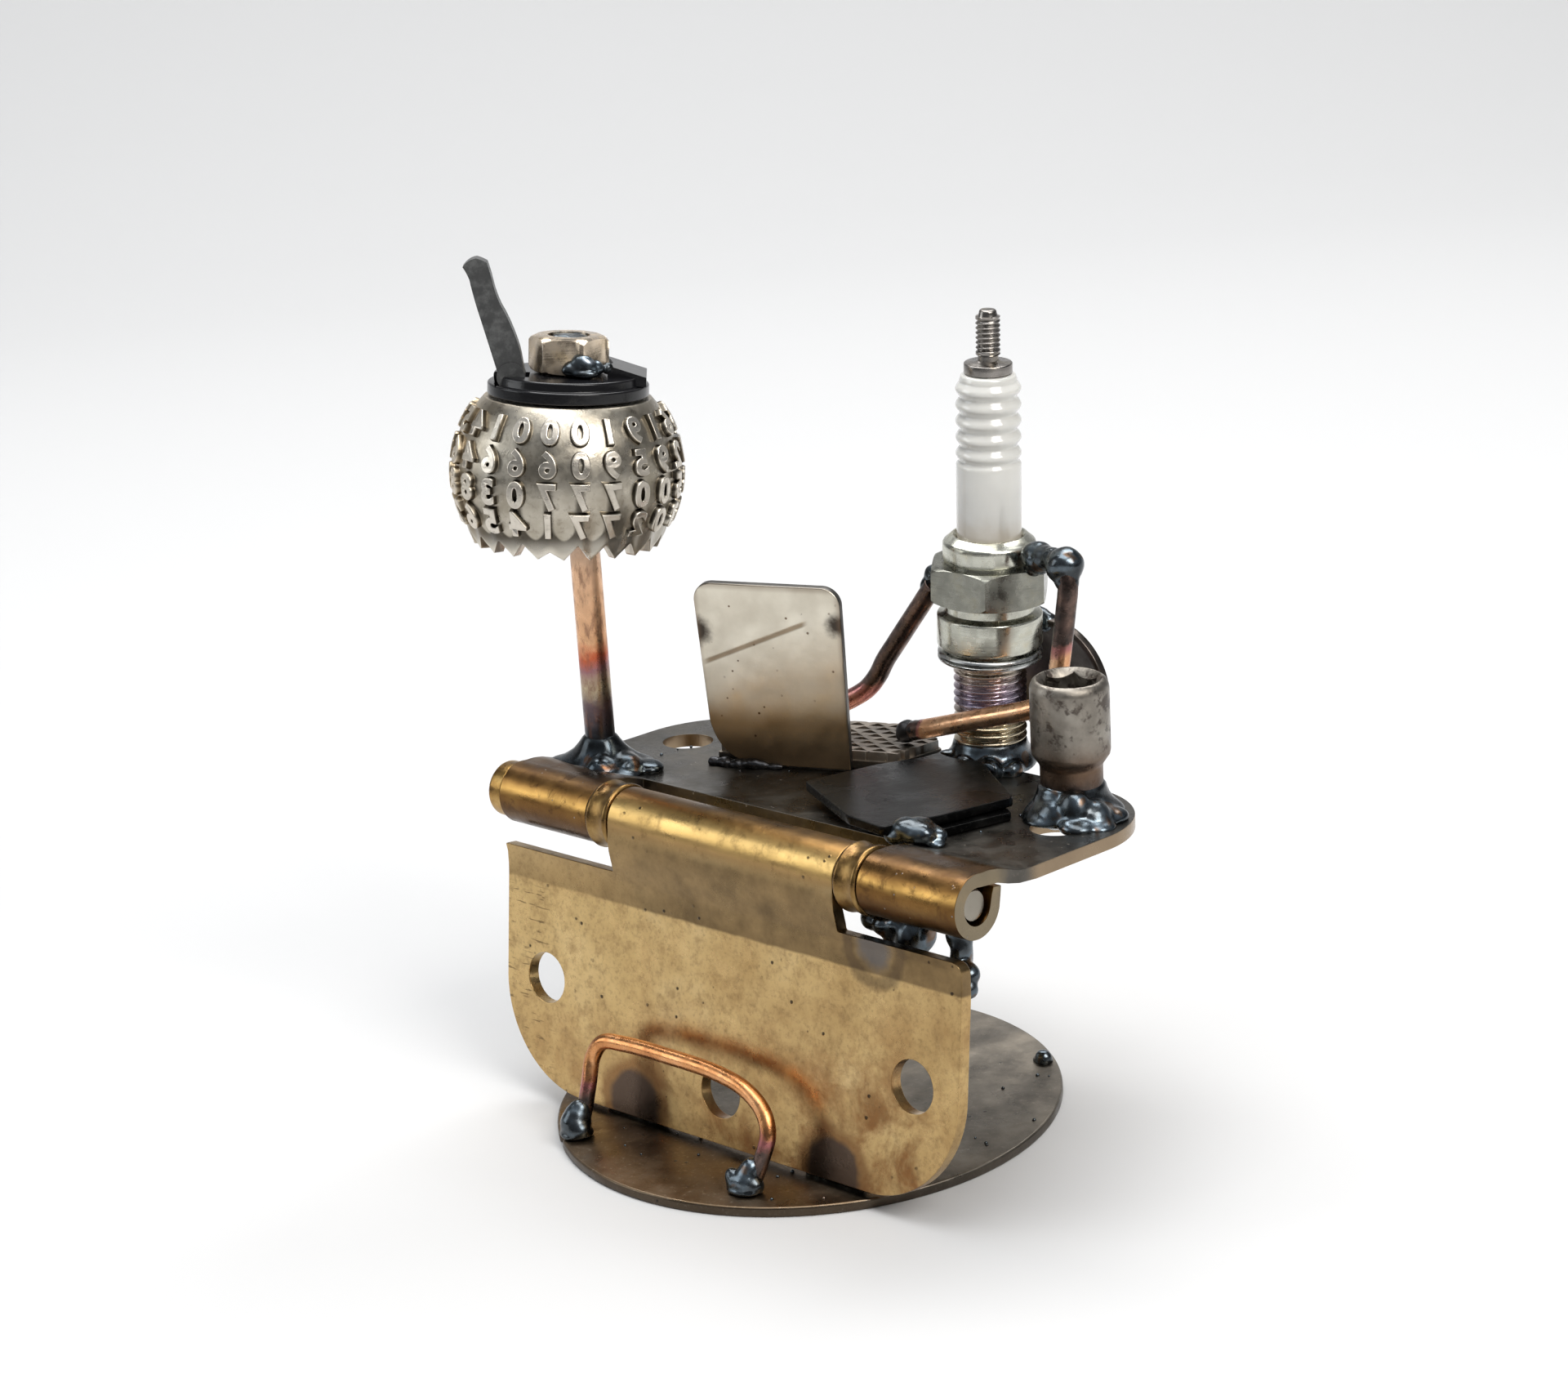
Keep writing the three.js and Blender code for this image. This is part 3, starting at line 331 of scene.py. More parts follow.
def rod(points, radius, sides=28, samples=90, dome=0.5):
    """A round rod along a smooth line, with softly domed ends."""
    line = spline(points, samples) if len(points) > 2 else [Vector(p) for p in points]
    bm = bmesh.new()
    side = (line[1] - line[0]).orthogonal().normalized()
    rings = []

    def ring(centre, axis, r):
        """One ring of vertices round the rod."""
        nonlocal side
        side = (side - axis * side.dot(axis)).normalized()
        other = axis.cross(side)
        circle = arc(0, 0, r, 0, 360 - 360 / sides, sides - 1)
        rings.append([bm.verts.new(centre + side * x + other * y) for x, y in circle])

    first = (line[1] - line[0]).normalized()
    last = (line[-1] - line[-2]).normalized()
    for step in (0.08, 0.35, 0.7):
        ring(line[0] + first * dome * radius * (1 - step), first, radius * math.sin(math.acos(1 - step)))
    for i, place in enumerate(line):
        if i in (0, len(line) - 1):
            continue
        ring(place, (line[i + 1] - line[i - 1]).normalized(), radius)
    if len(line) == 2:
        ring(line[0] + first * dome * radius, first, radius)
        ring(line[1] - last * dome * radius, last, radius)
    for step in (0.7, 0.35, 0.08):
        ring(line[-1] - last * dome * radius * (1 - step), last, radius * math.sin(math.acos(1 - step)))
    grid_faces(bm, rings, True, False)
    bm.faces.new(rings[0])
    bm.faces.new(rings[-1])
    return bm


def threaded(low, high, radius, depth, pitch, rows_per_turn=10):
    """Rows of a screw thread's surface, as [radius, height] with a helical radius."""
    rows = int((high - low) / pitch * rows_per_turn)
    profile = [(radius, low + (high - low) * i / rows) for i in range(rows + 1)]

    def radius_at(r, angle, z):
        """The thread's radius at an angle and a height."""
        if not low - 1e-6 <= z <= high + 1e-6 or abs(r - radius) > 1e-6:
            return r
        turn = (z / pitch - angle / (2 * math.pi)) % 1.0
        ridge = 0.5 + 0.5 * math.cos(2 * math.pi * turn)
        fade = min(1.0, (z - low) / pitch, (high - z) / pitch)
        return r - depth * (1 - ridge ** 0.8) * max(0.0, fade)

    return profile, radius_at


def blob(name, balls, place, voxel, ripple, ripple_size, seed, relaxing=12, core=None):
    """A bead of weld metal: overlapping balls, and a core if any, fused by a voxel remesh and rippled."""
    bm = core or bmesh.new()
    for centre, radii in balls:
        made = bmesh.ops.create_icosphere(bm, subdivisions=3, radius=1.0)
        scale = Matrix.Diagonal((*radii, 1.0))
        bmesh.ops.transform(bm, matrix=Matrix.Translation(centre) @ scale, verts=made["verts"])
    obj = new_object(name, bm, place)
    remesh = obj.modifiers.new("remesh", "REMESH")
    remesh.mode = "VOXEL"
    remesh.voxel_size = voxel * MM
    relax = obj.modifiers.new("relax", "SMOOTH")
    relax.factor = RELAX_FACTOR
    relax.iterations = relaxing
    apply_modifiers(obj)
    add_ripple(obj, ripple, ripple_size, seed)
    obj.data.shade_smooth()
    return obj


def add_ripple(obj, height, size, seed):
    """Moves a fine mesh's surface in and out by smooth noise, in millimetres."""
    shift = Vector((seed, -seed, seed * 0.5))
    mesh = obj.data
    normals = [v.normal.copy() for v in mesh.vertices]
    places = [v.co.copy() for v in mesh.vertices]
    for v, place, normal in zip(mesh.vertices, places, normals):
        v.co = place + normal * noise.noise(place / MM / size + shift) * height * MM


def levelled(obj):
    """Turn a leaning piece's mesh so that its own axes are the world's, which keeps its box tight."""
    turn = obj.matrix_world.to_quaternion().to_matrix().to_4x4()
    obj.data.transform(turn)
    obj.matrix_world = obj.matrix_world @ turn.inverted()
    return obj


def finished(obj, material, nodes, body=ROOT):
    """Gives a piece its material and body, and hides the CAD nodes that it stands for."""
    obj.data.materials.clear()
    obj.data.materials.append(material)
    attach(obj, body)
    if nodes:
        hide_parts(*nodes)
    return obj


# ---- Materials ----
COLOUR_A = 6
COLOUR_B = 7
COLOUR_MIXED = 2


class Look:
    """A procedural material: a Principled shader and the nodes that feed it."""

    def __init__(self, name, metallic=1.0, **values):
        self.material = bpy.data.materials.new(name)
        self.material.use_nodes = True
        self.tree = self.material.node_tree
        self.shader = self.tree.nodes["Principled BSDF"]
        self.shader.inputs["Metallic"].default_value = metallic
        for key, value in values.items():
            self.shader.inputs[key.replace("_", " ")].default_value = value
        self.place = self.new("ShaderNodeTexCoord").outputs["Object"]

    def new(self, kind, **settings):
        """A new node with its settings."""
        node = self.tree.nodes.new(kind)
        for key, value in settings.items():
            setattr(node, key, value)
        return node

    def feed(self, socket, value):
        """Links a socket to another one, or sets it to a number or a colour."""
        if isinstance(value, bpy.types.NodeSocket):
            self.tree.links.new(value, socket)
        elif isinstance(value, tuple):
            socket.default_value = (*value, 1.0)
        else:
            socket.default_value = value

    def noise(self, size, detail=3.0, rough=0.55, distortion=0.0, stretch=None):
        """Noise from 0 to 1 with blotches of about a size in millimetres."""
        node = self.new("ShaderNodeTexNoise")
        place = self.place
        if stretch:
            mapping = self.new("ShaderNodeMapping")
            mapping.inputs["Scale"].default_value = stretch
            self.feed(mapping.inputs["Vector"], place)
            place = mapping.outputs["Vector"]
        self.feed(node.inputs["Vector"], place)
        node.inputs["Scale"].default_value = 1 / (size * MM)
        node.inputs["Detail"].default_value = detail
        node.inputs["Roughness"].default_value = rough
        node.inputs["Distortion"].default_value = distortion
        return node.outputs["Fac"]

    def spots(self, size, share):
        """Small round spots: 1 inside a spot and 0 outside."""
        node = self.new("ShaderNodeTexVoronoi")
        self.feed(node.inputs["Vector"], self.place)
        node.inputs["Scale"].default_value = 1 / (size * MM)
        return self.span(node.outputs["Distance"], share, share * 0.55)

    def span(self, value, start, end, low=0.0, high=1.0):
        """A value's range from start to end, mapped smoothly to low to high."""
        node = self.new("ShaderNodeMapRange", interpolation_type="SMOOTHSTEP")
        self.feed(node.inputs["Value"], value)
        for name, number in (("From Min", start), ("From Max", end), ("To Min", low), ("To Max", high)):
            node.inputs[name].default_value = number
        return node.outputs["Result"]

    def math(self, operation, a, b=0.0, c=0.0):
        """A sum, product or other operation on values."""
        node = self.new("ShaderNodeMath", operation=operation)
        for socket, value in zip(node.inputs, (a, b, c)):
            self.feed(socket, value)
        return node.outputs[0]

    def axis(self, name):
        """One coordinate in the piece's own frame, in millimetres."""
        node = self.new("ShaderNodeSeparateXYZ")
        self.feed(node.inputs[0], self.place)
        return self.math("DIVIDE", node.outputs[name], MM)

    def facing(self, name):
        """One coordinate of the surface's direction in the piece's own frame."""
        node = self.new("ShaderNodeSeparateXYZ")
        self.feed(node.inputs[0], self.new("ShaderNodeTexCoord").outputs["Normal"])
        return node.outputs[name]

    def distance(self, point):
        """The distance from a point in the piece's own frame, in millimetres."""
        node = self.new("ShaderNodeVectorMath", operation="DISTANCE")
        self.feed(node.inputs[0], self.place)
        node.inputs[1].default_value = Vector(point) * MM
        return self.math("DIVIDE", node.outputs["Value"], MM)

    def ramp(self, value, stops):
        """Colours along a value: (position, colour) pairs."""
        node = self.new("ShaderNodeValToRGB")
        self.feed(node.inputs["Fac"], value)
        band = node.color_ramp
        while len(band.elements) < len(stops):
            band.elements.new(0.5)
        for element, (position, colour) in zip(band.elements, stops):
            element.position = position
            element.color = (*colour, 1.0)
        return node.outputs["Color"]

    def both(self, a, b):
        """The product of two values: high only where both are."""
        return self.math("MULTIPLY", a, b)

    def wavy(self, value, blotch, swing):
        """A value whose level wanders by noise; blotch is the noise's settings."""
        return self.math("ADD", value, self.math("MULTIPLY", self.noise(*blotch), swing))

    def mix(self, share, a, b):
        """Colour a, turning to colour b where the share is high."""
        node = self.new("ShaderNodeMix", data_type="RGBA")
        self.feed(node.inputs["Factor"], share)
        self.feed(node.inputs[COLOUR_A], a)
        self.feed(node.inputs[COLOUR_B], b)
        return node.outputs[COLOUR_MIXED]

    def stain(self, share, colour):
        """Turns the base colour to another where the share is high."""
        self.base = self.mix(share, self.base, colour)

    def rough(self, value):
        """Gives the shader its base colour and roughness."""
        self.feed(self.shader.inputs["Base Color"], self.base)
        self.feed(self.shader.inputs["Roughness"], value)
        return self

    def bump(self, *layers):
        """Stacks bumps: (height value, depth in millimetres) pairs."""
        normal = None
        for height, depth in layers:
            node = self.new("ShaderNodeBump")
            node.inputs["Strength"].default_value = 1.0
            node.inputs["Distance"].default_value = depth * MM
            self.feed(node.inputs["Height"], height)
            if normal:
                self.feed(node.inputs["Normal"], normal)
            normal = node.outputs["Normal"]
        self.feed(self.shader.inputs["Normal"], normal)
        return self


def brass_look():
    """Brass-plated sheet: a brown band of painted dark reflection above the swage line and painted
    highlight and shade bands on the barrel, with heat stains, specks and rings round welds.
    """
    look = Look("worn_brass_plate")
    look.base = look.ramp(look.noise(16, 4, 0.6), [
        (0.3, (0.46, 0.30, 0.125)),
        (0.55, (0.60, 0.42, 0.19)),
        (0.8, (0.70, 0.53, 0.28)),
    ])
    x, z = look.axis("X"), look.axis("Z")
    pale = look.both(look.span(x, -15.9, -16.6), look.span(z, -11.8, -12.6))
    pale = look.both(pale, look.span(z, -36, -24))
    look.stain(look.both(pale, 0.4), (0.66, 0.47, 0.21))
    low = look.span(look.math("ADD", z, look.both(x, -0.22)), -16, -42)
    cloud = look.span(look.noise(9, 5, 0.65, 0.4), 0.42, 0.66)
    look.stain(look.both(cloud, low), (0.25, 0.12, 0.045))
    fine = look.span(look.noise(2.2, 4, 0.7), 0.42, 0.75, 0.0, 0.55)
    look.stain(fine, (0.27, 0.165, 0.07))
    grime = look.span(look.noise(0.7, 3, 0.75), 0.48, 0.72, 0.0, 0.35)
    look.stain(grime, (0.16, 0.10, 0.05))
    for centre_x, centre_z in ((-17, -41.0), (22.0, -41.5)):
        away = look.distance((centre_x, -2.6, centre_z))
        away = look.wavy(away, (5,), 3.0)
        ring = look.span(away, 9.4, 7.4)
        core = look.span(away, 7.2, 5.8)
        look.stain(look.both(ring, 0.8), (0.22, 0.11, 0.045))
        look.stain(look.both(core, 0.92), (0.085, 0.062, 0.05))
    dash = look.span(look.noise(2.6, 2, 0.5, 0.0, (0.8, 1, 6)), 0.60, 0.68)
    edge = look.both(look.span(x, -33, -37), look.span(z, -12, -14))
    dash = look.both(dash, edge)
    look.stain(look.both(dash, 0.7), (0.13, 0.08, 0.04))
    # Painted dark reflection: the band between the barrel and the swage line is darkened to brown. It
    # stands in for the dark that the bent sheet reflects.
    above = look.wavy(z, (6, 3), 0.5)
    swage_painted_reflection = look.both(look.span(above, -12.0, -11.5), look.span(above, 0.4, -2.4))
    tone = look.ramp(look.noise(5, 4, 0.6), [(0.3, (0.10, 0.065, 0.032)), (0.7, (0.24, 0.16, 0.075))])
    look.stain(look.both(swage_painted_reflection, look.span(x, -34, -8, 0.45, 0.9)), tone)
    # Painted highlight and shade: bands of dark brown, bright gold and dark brown along the barrel's height
    # stand in for how light falls on the round barrel.
    painted_band_level = look.math("MULTIPLY_ADD", z, 0.1, 0.5)
    painted_band_level = look.math(
        "ADD", painted_band_level,
        look.math("MULTIPLY_ADD", look.noise(6, 4, 0.6, 0.0, (0.4, 1, 1)), 0.22, -0.11),
    )
    barrel_painted_light = look.ramp(painted_band_level, [
        (0.30, (0.20, 0.13, 0.06)), (0.46, (0.34, 0.215, 0.09)), (0.62, (0.52, 0.34, 0.12)),
        (0.76, (0.74, 0.50, 0.19)), (0.88, (0.36, 0.205, 0.07)), (0.97, (0.12, 0.07, 0.03)),
    ])
    barrel_painted_light = look.mix(look.span(look.noise(3, 4, 0.65), 0.5, 0.7, 0.0, 0.5), barrel_painted_light, (0.13, 0.075, 0.03))
    look.stain(look.span(z, -2.4, -0.4), barrel_painted_light)
    away = look.distance((28.8, -2.6, -8.4))
    away = look.wavy(away, (3,), 2.0)
    halo = look.both(look.span(away, 4.2, 5.4), look.span(away, 7.4, 6.2))
    look.stain(look.both(halo, 0.6), (0.075, 0.05, 0.032))
    look.stain(look.span(away, 5.0, 2.8, 0.0, 0.85), (0.13, 0.12, 0.115))
    speck = look.both(look.spots(2.6, 0.13), look.span(look.noise(7), 0.48, 0.58))
    look.stain(look.both(speck, 0.9), (0.04, 0.03, 0.02))
    look.rough(look.span(look.noise(7, 4, 0.6), 0.3, 0.75, 0.25, 0.42))
    return look.bump((look.noise(0.35, 2), 0.012), (look.noise(3.0, 3), 0.05), (speck, 0.06)).material


def knuckle_look():
    """Burnt desk leaf: near-black oxide on the flat, and brass on the knuckles with painted highlight and
    shade bands along their height.
    """
    look = Look("burnt_desk_leaf")
    flat = look.ramp(look.noise(12, 5, 0.62), [
        (0.3, (0.065, 0.061, 0.053)),
        (0.6, (0.125, 0.115, 0.10)),
        (0.85, (0.21, 0.185, 0.15)),
    ])
    fleck = look.span(look.noise(0.8, 3, 0.7), 0.55, 0.75, 0.0, 0.35)
    flat = look.mix(fleck, flat, (0.22, 0.19, 0.16))
    brass = look.ramp(look.noise(6, 4, 0.6), [
        (0.3, (0.10, 0.045, 0.015)),
        (0.5, (0.25, 0.125, 0.035)),
        (0.75, (0.50, 0.29, 0.085)),
    ])
    # Painted highlight and shade: bands along the knuckles' height, with one bright gold band, stand in for
    # how light falls on them.
    painted_band_level = look.math("MULTIPLY_ADD", look.axis("Z"), 0.1, 0.5)
    painted_band_level = look.math(
        "ADD", painted_band_level, look.math("MULTIPLY_ADD", look.noise(5, 3, 0.6, 0.0, (0.4, 1, 1)), 0.2, -0.1),
    )
    rows = look.ramp(painted_band_level, [
        (0.12, (0.035, 0.018, 0.008)), (0.38, (0.085, 0.042, 0.015)), (0.56, (0.19, 0.095, 0.028)),
        (0.68, (0.52, 0.31, 0.09)), (0.78, (0.24, 0.125, 0.038)), (0.92, (0.075, 0.043, 0.02)),
    ])
    brass = look.mix(0.8, brass, rows)
    drip = look.span(look.noise(2.4, 4, 0.65, 0.6), 0.5, 0.68, 0.0, 0.7)
    brass = look.mix(drip, brass, (0.08, 0.04, 0.015))
    end = look.span(look.math("ABSOLUTE", look.facing("X")), 0.75, 0.95, 0.0, 0.9)
    brass = look.mix(end, brass, (0.24, 0.20, 0.135))
    near = look.wavy(look.axis("Y"), (4, 3), 3.0)
    look.base = look.mix(look.span(near, 5.0, 8.2), brass, flat)
    side = look.math("ABSOLUTE", look.facing("Z"))
    edge = look.both(look.span(side, 0.6, 0.3), look.span(look.axis("Y"), 9.5, 13))
    look.stain(look.both(edge, 0.85), (0.34, 0.25, 0.16))
    under = look.both(look.span(look.facing("Z"), -0.3, -0.7), look.span(look.axis("Y"), 5, 8))
    look.stain(look.both(under, 0.6), (0.36, 0.26, 0.15))
    spots = look.both(look.spots(1.6, 0.12), look.span(look.noise(5), 0.48, 0.6))
    look.stain(spots, (0.3, 0.27, 0.24))
    look.rough(look.span(look.noise(5, 4, 0.6), 0.3, 0.75, 0.24, 0.46))
    return look.bump((look.noise(0.3, 2), 0.012), (look.noise(2.5, 3), 0.05), (spots, 0.06)).material


def bright_brass_look(name="heat_tinted_brass", dark=0.0):
    """Brass of the pin and rings, brown where it ran hot."""
    look = Look(name)
    tone = look.noise(3.5, 4, 0.6)
    look.base = look.ramp(tone, [
        (0.3, (0.13, 0.065, 0.022)),
        (0.5, (0.34, 0.20, 0.06)),
        (0.75, (0.60, 0.40, 0.15)),
    ])
    look.stain(dark, (0.10, 0.065, 0.035))
    tip = look.span(look.axis("Z"), 90.0, 91.2)
    look.stain(tip, (0.30, 0.275, 0.23))
    look.rough(look.span(tone, 0.3, 0.7, 0.24, 0.4))
    return look.bump((look.noise(0.5, 3), 0.02), (look.noise(2), 0.04)).material


def dark_steel_look(name="oxidised_steel", tint=(0.25, 0.22, 0.18), front_brown=True):
    """Hot-rolled steel: mottled grey-brown oxide with pits and fine spatter."""
    look = Look(name)
    dark = tuple(c * 0.45 for c in tint)
    light = tuple(c * 1.7 for c in tint)
    look.base = look.ramp(look.noise(10, 6, 0.62), [(0.3, dark), (0.52, tint), (0.8, light)])
    if front_brown:
        front = look.span(look.axis("Y"), -8, -24)
        look.stain(look.both(front, 0.7), (0.12, 0.068, 0.026))
    pits = look.both(look.spots(3.2, 0.1), look.span(look.noise(8), 0.45, 0.6))
    look.stain(pits, (0.02, 0.018, 0.016))
    fleck = look.span(look.noise(0.7, 3, 0.7), 0.56, 0.74, 0.0, 0.4)
    look.stain(fleck, light)
    side = look.span(look.math("ABSOLUTE", look.facing("Z")), 0.75, 0.4, 0.0, 0.65 if front_brown else 0.0)
    look.stain(side, (0.05, 0.042, 0.035))
    look.rough(look.span(look.noise(6, 4), 0.3, 0.7, 0.26, 0.48))
    return look.bump((look.noise(0.35, 2), 0.014), (look.noise(3, 3), 0.05), (pits, 0.05)).material


def black_plate_look():
    """Black oxide plate: near-black with soft grey patches."""
    look = Look("black_oxide_plate", metallic=0.85)
    patch = look.span(look.noise(9, 3, 0.5, 0.6), 0.42, 0.66)
    look.base = look.mix(patch, (0.006, 0.006, 0.006), (0.020, 0.020, 0.019))
    look.stain(look.span(look.noise(0.6, 3, 0.7), 0.56, 0.72, 0.0, 0.3), (0.09, 0.09, 0.088))
    look.rough(look.math("MULTIPLY_ADD", patch, 0.16, 0.26))
    return look.bump((look.noise(0.4, 3), 0.03), (look.noise(5, 3), 0.12)).material


def lid_look():
    """Grey-tan plate: browned towards its foot, one rusty scratch and two burns at its edges."""
    look = Look("scratched_lid")
    look.base = look.ramp(look.noise(9, 4, 0.55), [
        (0.3, (0.66, 0.60, 0.49)),
        (0.6, (0.82, 0.77, 0.65)),
        (0.85, (0.90, 0.85, 0.74)),
    ])
    height = look.wavy(look.axis("Z"), (8, 3), 3.0)
    look.stain(look.span(height, 12.0, 7.5, 0.0, 0.9), (0.46, 0.34, 0.20))
    look.stain(look.span(height, 7.5, 3.0, 0.0, 0.93), (0.27, 0.185, 0.11))
    x, z = look.axis("X"), look.axis("Z")
    line = look.math("ABSOLUTE", look.math("SUBTRACT", z, look.math("MULTIPLY_ADD", x, 0.42, 20.2)))
    ends = look.both(look.span(x, -11, -9.5), look.span(x, 6.4, 5.0))
    ends = look.both(ends, look.span(look.facing("Y"), -0.3, -0.6))
    scratch = look.both(look.span(line, 0.55, 0.15), ends)
    look.stain(look.both(scratch, 0.75), (0.20, 0.12, 0.05))
    for place, radius in (((-11.2, -0.8, 20.6), 2.1), ((10.6, -0.8, 22.6), 1.7)):
        away = look.wavy(look.distance(place), (1.2, 4), 1.6)
        look.stain(look.span(away, radius + 1.6, radius - 0.2, 0.0, 0.95), (0.035, 0.025, 0.02))
    rim = look.math("MAXIMUM", look.span(look.math("ABSOLUTE", x), 10.2, 11.2), look.span(z, 27.0, 28.0))
    look.stain(look.both(rim, 0.45), (0.22, 0.15, 0.10))
    side = look.span(look.math("ABSOLUTE", look.facing("Y")), 0.75, 0.4)
    look.stain(look.both(side, 0.9), (0.075, 0.075, 0.075))
    speck = look.both(look.spots(1.9, 0.13), look.span(look.noise(4), 0.5, 0.6))
    look.stain(speck, (0.16, 0.10, 0.06))
    look.rough(look.span(look.noise(5, 4), 0.3, 0.7, 0.3, 0.45))
    return look.bump((look.noise(0.3, 2), 0.01), (look.noise(4), 0.05), (scratch, -0.03)).material


def weld_look(name="weld_bead", patch=(0.15, 0.095, 0.06), shade=1.0):
    """Weld metal: glassy blue-black scale with brown and silver patches."""
    look = Look(name)
    tone = look.noise(3.2, 2, 0.5, 0.3)
    tones = [
        (0.25, (0.035, 0.038, 0.041)), (0.45, (0.075, 0.085, 0.092)), (0.60, (0.12, 0.15, 0.175)),
        (0.68, patch), (0.85, (0.26, 0.27, 0.28)),
    ]
    look.base = look.ramp(tone, [(at, tuple(shade * c for c in colour)) for at, colour in tones])
    look.rough(look.span(look.noise(1.6, 3), 0.3, 0.7, 0.16, 0.36))
    return look.bump((look.noise(2.4, 1), 0.02), (look.noise(0.5, 3), 0.012)).material


COPPER = [(0.25, (0.34, 0.13, 0.05)), (0.5, (0.62, 0.28, 0.11)), (0.8, (0.82, 0.45, 0.23))]
BRIGHT_COPPER = [(0.25, (0.55, 0.26, 0.13)), (0.5, (0.80, 0.46, 0.26)), (0.8, (0.92, 0.62, 0.40))]
OXIDE = [(0.3, (0.05, 0.043, 0.04)), (0.55, (0.14, 0.095, 0.08)), (0.8, (0.28, 0.18, 0.135))]


def copper_look(name, heat, coat=None):
    """Copper-coated rod. heat(look) gives 1 where the coat is burnt to dark oxide and 0 where bright."""
    look = Look(name)
    bright = look.ramp(look.noise(4, 4, 0.6), coat or COPPER)
    burnt = look.ramp(look.noise(2.4, 4, 0.6), OXIDE)
    share = heat(look)
    ragged = look.math("ADD", share, look.both(look.math("SUBTRACT", look.noise(2.5, 4), 0.5), 0.5))
    look.base = look.mix(look.span(ragged, 0.35, 0.62), bright, burnt)
    fringe = look.both(look.span(ragged, 0.18, 0.4), look.span(ragged, 0.62, 0.45))
    look.stain(look.both(fringe, 0.7), (0.36, 0.12, 0.16))
    look.rough(look.span(look.noise(1.5, 4), 0.3, 0.7, 0.2, 0.38))
    return look.bump((look.noise(0.5, 3), 0.02), (look.noise(1.6, 3), 0.05)).material


def post_look():
    """Lamp post: grey tip, copper, then bands of heat colour down to dark steel at the weld."""
    look = Look("lamp_post_rod")
    height = look.wavy(look.axis("Z"), (3.5, 4, 0.6), 5.0)
    look.base = look.ramp(look.math("DIVIDE", height, 64.0), [
        (0.0, (0.025, 0.028, 0.032)), (0.13, (0.05, 0.055, 0.065)), (0.2, (0.13, 0.09, 0.095)),
        (0.245, (0.44, 0.36, 0.24)), (0.285, (0.30, 0.15, 0.16)), (0.32, (0.50, 0.12, 0.055)),
        (0.36, (0.70, 0.40, 0.22)), (0.52, (0.76, 0.48, 0.30)), (0.60, (0.30, 0.245, 0.21)),
        (1.0, (0.25, 0.22, 0.20)),
    ])
    stain = look.span(look.noise(2.4, 5, 0.7, 0.0, (1.6, 1.6, 0.6)), 0.48, 0.68, 0.0, 0.7)
    look.stain(stain, (0.20, 0.10, 0.07))
    look.rough(look.span(look.noise(1.8, 4), 0.3, 0.7, 0.24, 0.42))
    return look.bump((look.noise(0.5, 3), 0.02), (look.noise(1.6, 3), 0.05)).material


def ball_look():
    """Satin nickel, with painted shade in the corners round the raised figures, and bright on their tops.
    """
    look = Look("satin_nickel")
    radius = look.distance((0, 0, 0))
    look.base = look.ramp(look.noise(5, 4, 0.6), [
        (0.3, (0.34, 0.30, 0.235)),
        (0.6, (0.50, 0.46, 0.385)),
        (0.85, (0.62, 0.585, 0.51)),
    ])
    # Painted shade: the corners round the roots of the raised figures are darkened.
    wall = look.both(look.span(radius, 16.03, 16.12), look.span(radius, 16.75, 16.45))
    look.stain(look.both(wall, 0.9), (0.05, 0.042, 0.032))
    look.stain(look.span(radius, 16.65, 16.8), (0.66, 0.61, 0.53))
    # Painted reflection: a warm yellow cast on the ball's -X side.
    look.stain(look.span(look.axis("X"), 1.0, -13.0, 0.0, 0.6), (0.55, 0.43, 0.27))
    grime = look.span(look.noise(1.1, 5, 0.7), 0.5, 0.72, 0.0, 0.45)
    look.stain(grime, (0.17, 0.145, 0.11))
    look.stain(look.span(look.axis("Z"), -5.5, -8.0, 0.0, 0.6), (0.66, 0.62, 0.54))
    look.rough(look.span(look.noise(2, 3), 0.3, 0.7, 0.26, 0.4))
    return look.bump((look.noise(0.25, 2), 0.015), (look.noise(1.2, 3), 0.03)).material


def zinc_look(name="zinc_plate", tint=(0.56, 0.56, 0.49), stain=0.4):
    """Bright zinc with an olive and yellow cast and fine scuffs."""
    look = Look(name)
    warm = (tint[0] * 0.92, tint[1] * 0.82, tint[2] * 0.58)
    dark = tuple(c * 0.62 for c in tint)
    bright = tuple(c * 1.15 for c in tint)
    look.base = look.ramp(look.noise(6, 4, 0.55), [(0.3, dark), (0.5, tint), (0.75, bright)])
    look.stain(look.span(look.noise(3, 3), 0.5, 0.75, 0.0, stain), warm)
    scuff = look.span(look.noise(1.6, 4, 0.7, stretch=(0.5, 0.5, 6)), 0.5, 0.75, 0.0, 0.5)
    look.stain(scuff, dark)
    look.rough(look.span(look.noise(1.6, 4), 0.3, 0.7, 0.18, 0.36))
    turned = look.noise(2.0, 2, 0.5, 0.0, (0.3, 0.3, 10))
    return look.bump((turned, 0.012), (look.noise(0.4, 3), 0.006), (look.noise(2.5, 2), 0.02)).material


def thread_look():
    """The plug's thread: tinted purple, blue and straw by the heat of the weld under it."""
    look = Look("heat_tinted_thread")
    height = look.wavy(look.axis("Z"), (3, 3), 4.0)
    look.base = look.ramp(look.math("DIVIDE", height, 22.0), [
        (0.0, (0.14, 0.15, 0.18)), (0.25, (0.40, 0.35, 0.27)), (0.42, (0.55, 0.47, 0.32)),
        (0.55, (0.34, 0.30, 0.38)), (0.66, (0.42, 0.35, 0.40)), (0.78, (0.58, 0.50, 0.42)),
        (0.92, (0.62, 0.60, 0.52)),
    ])
    look.rough(look.span(look.noise(1.2, 3), 0.3, 0.7, 0.16, 0.3))
    return look.bump((look.noise(0.4, 3), 0.015),).material


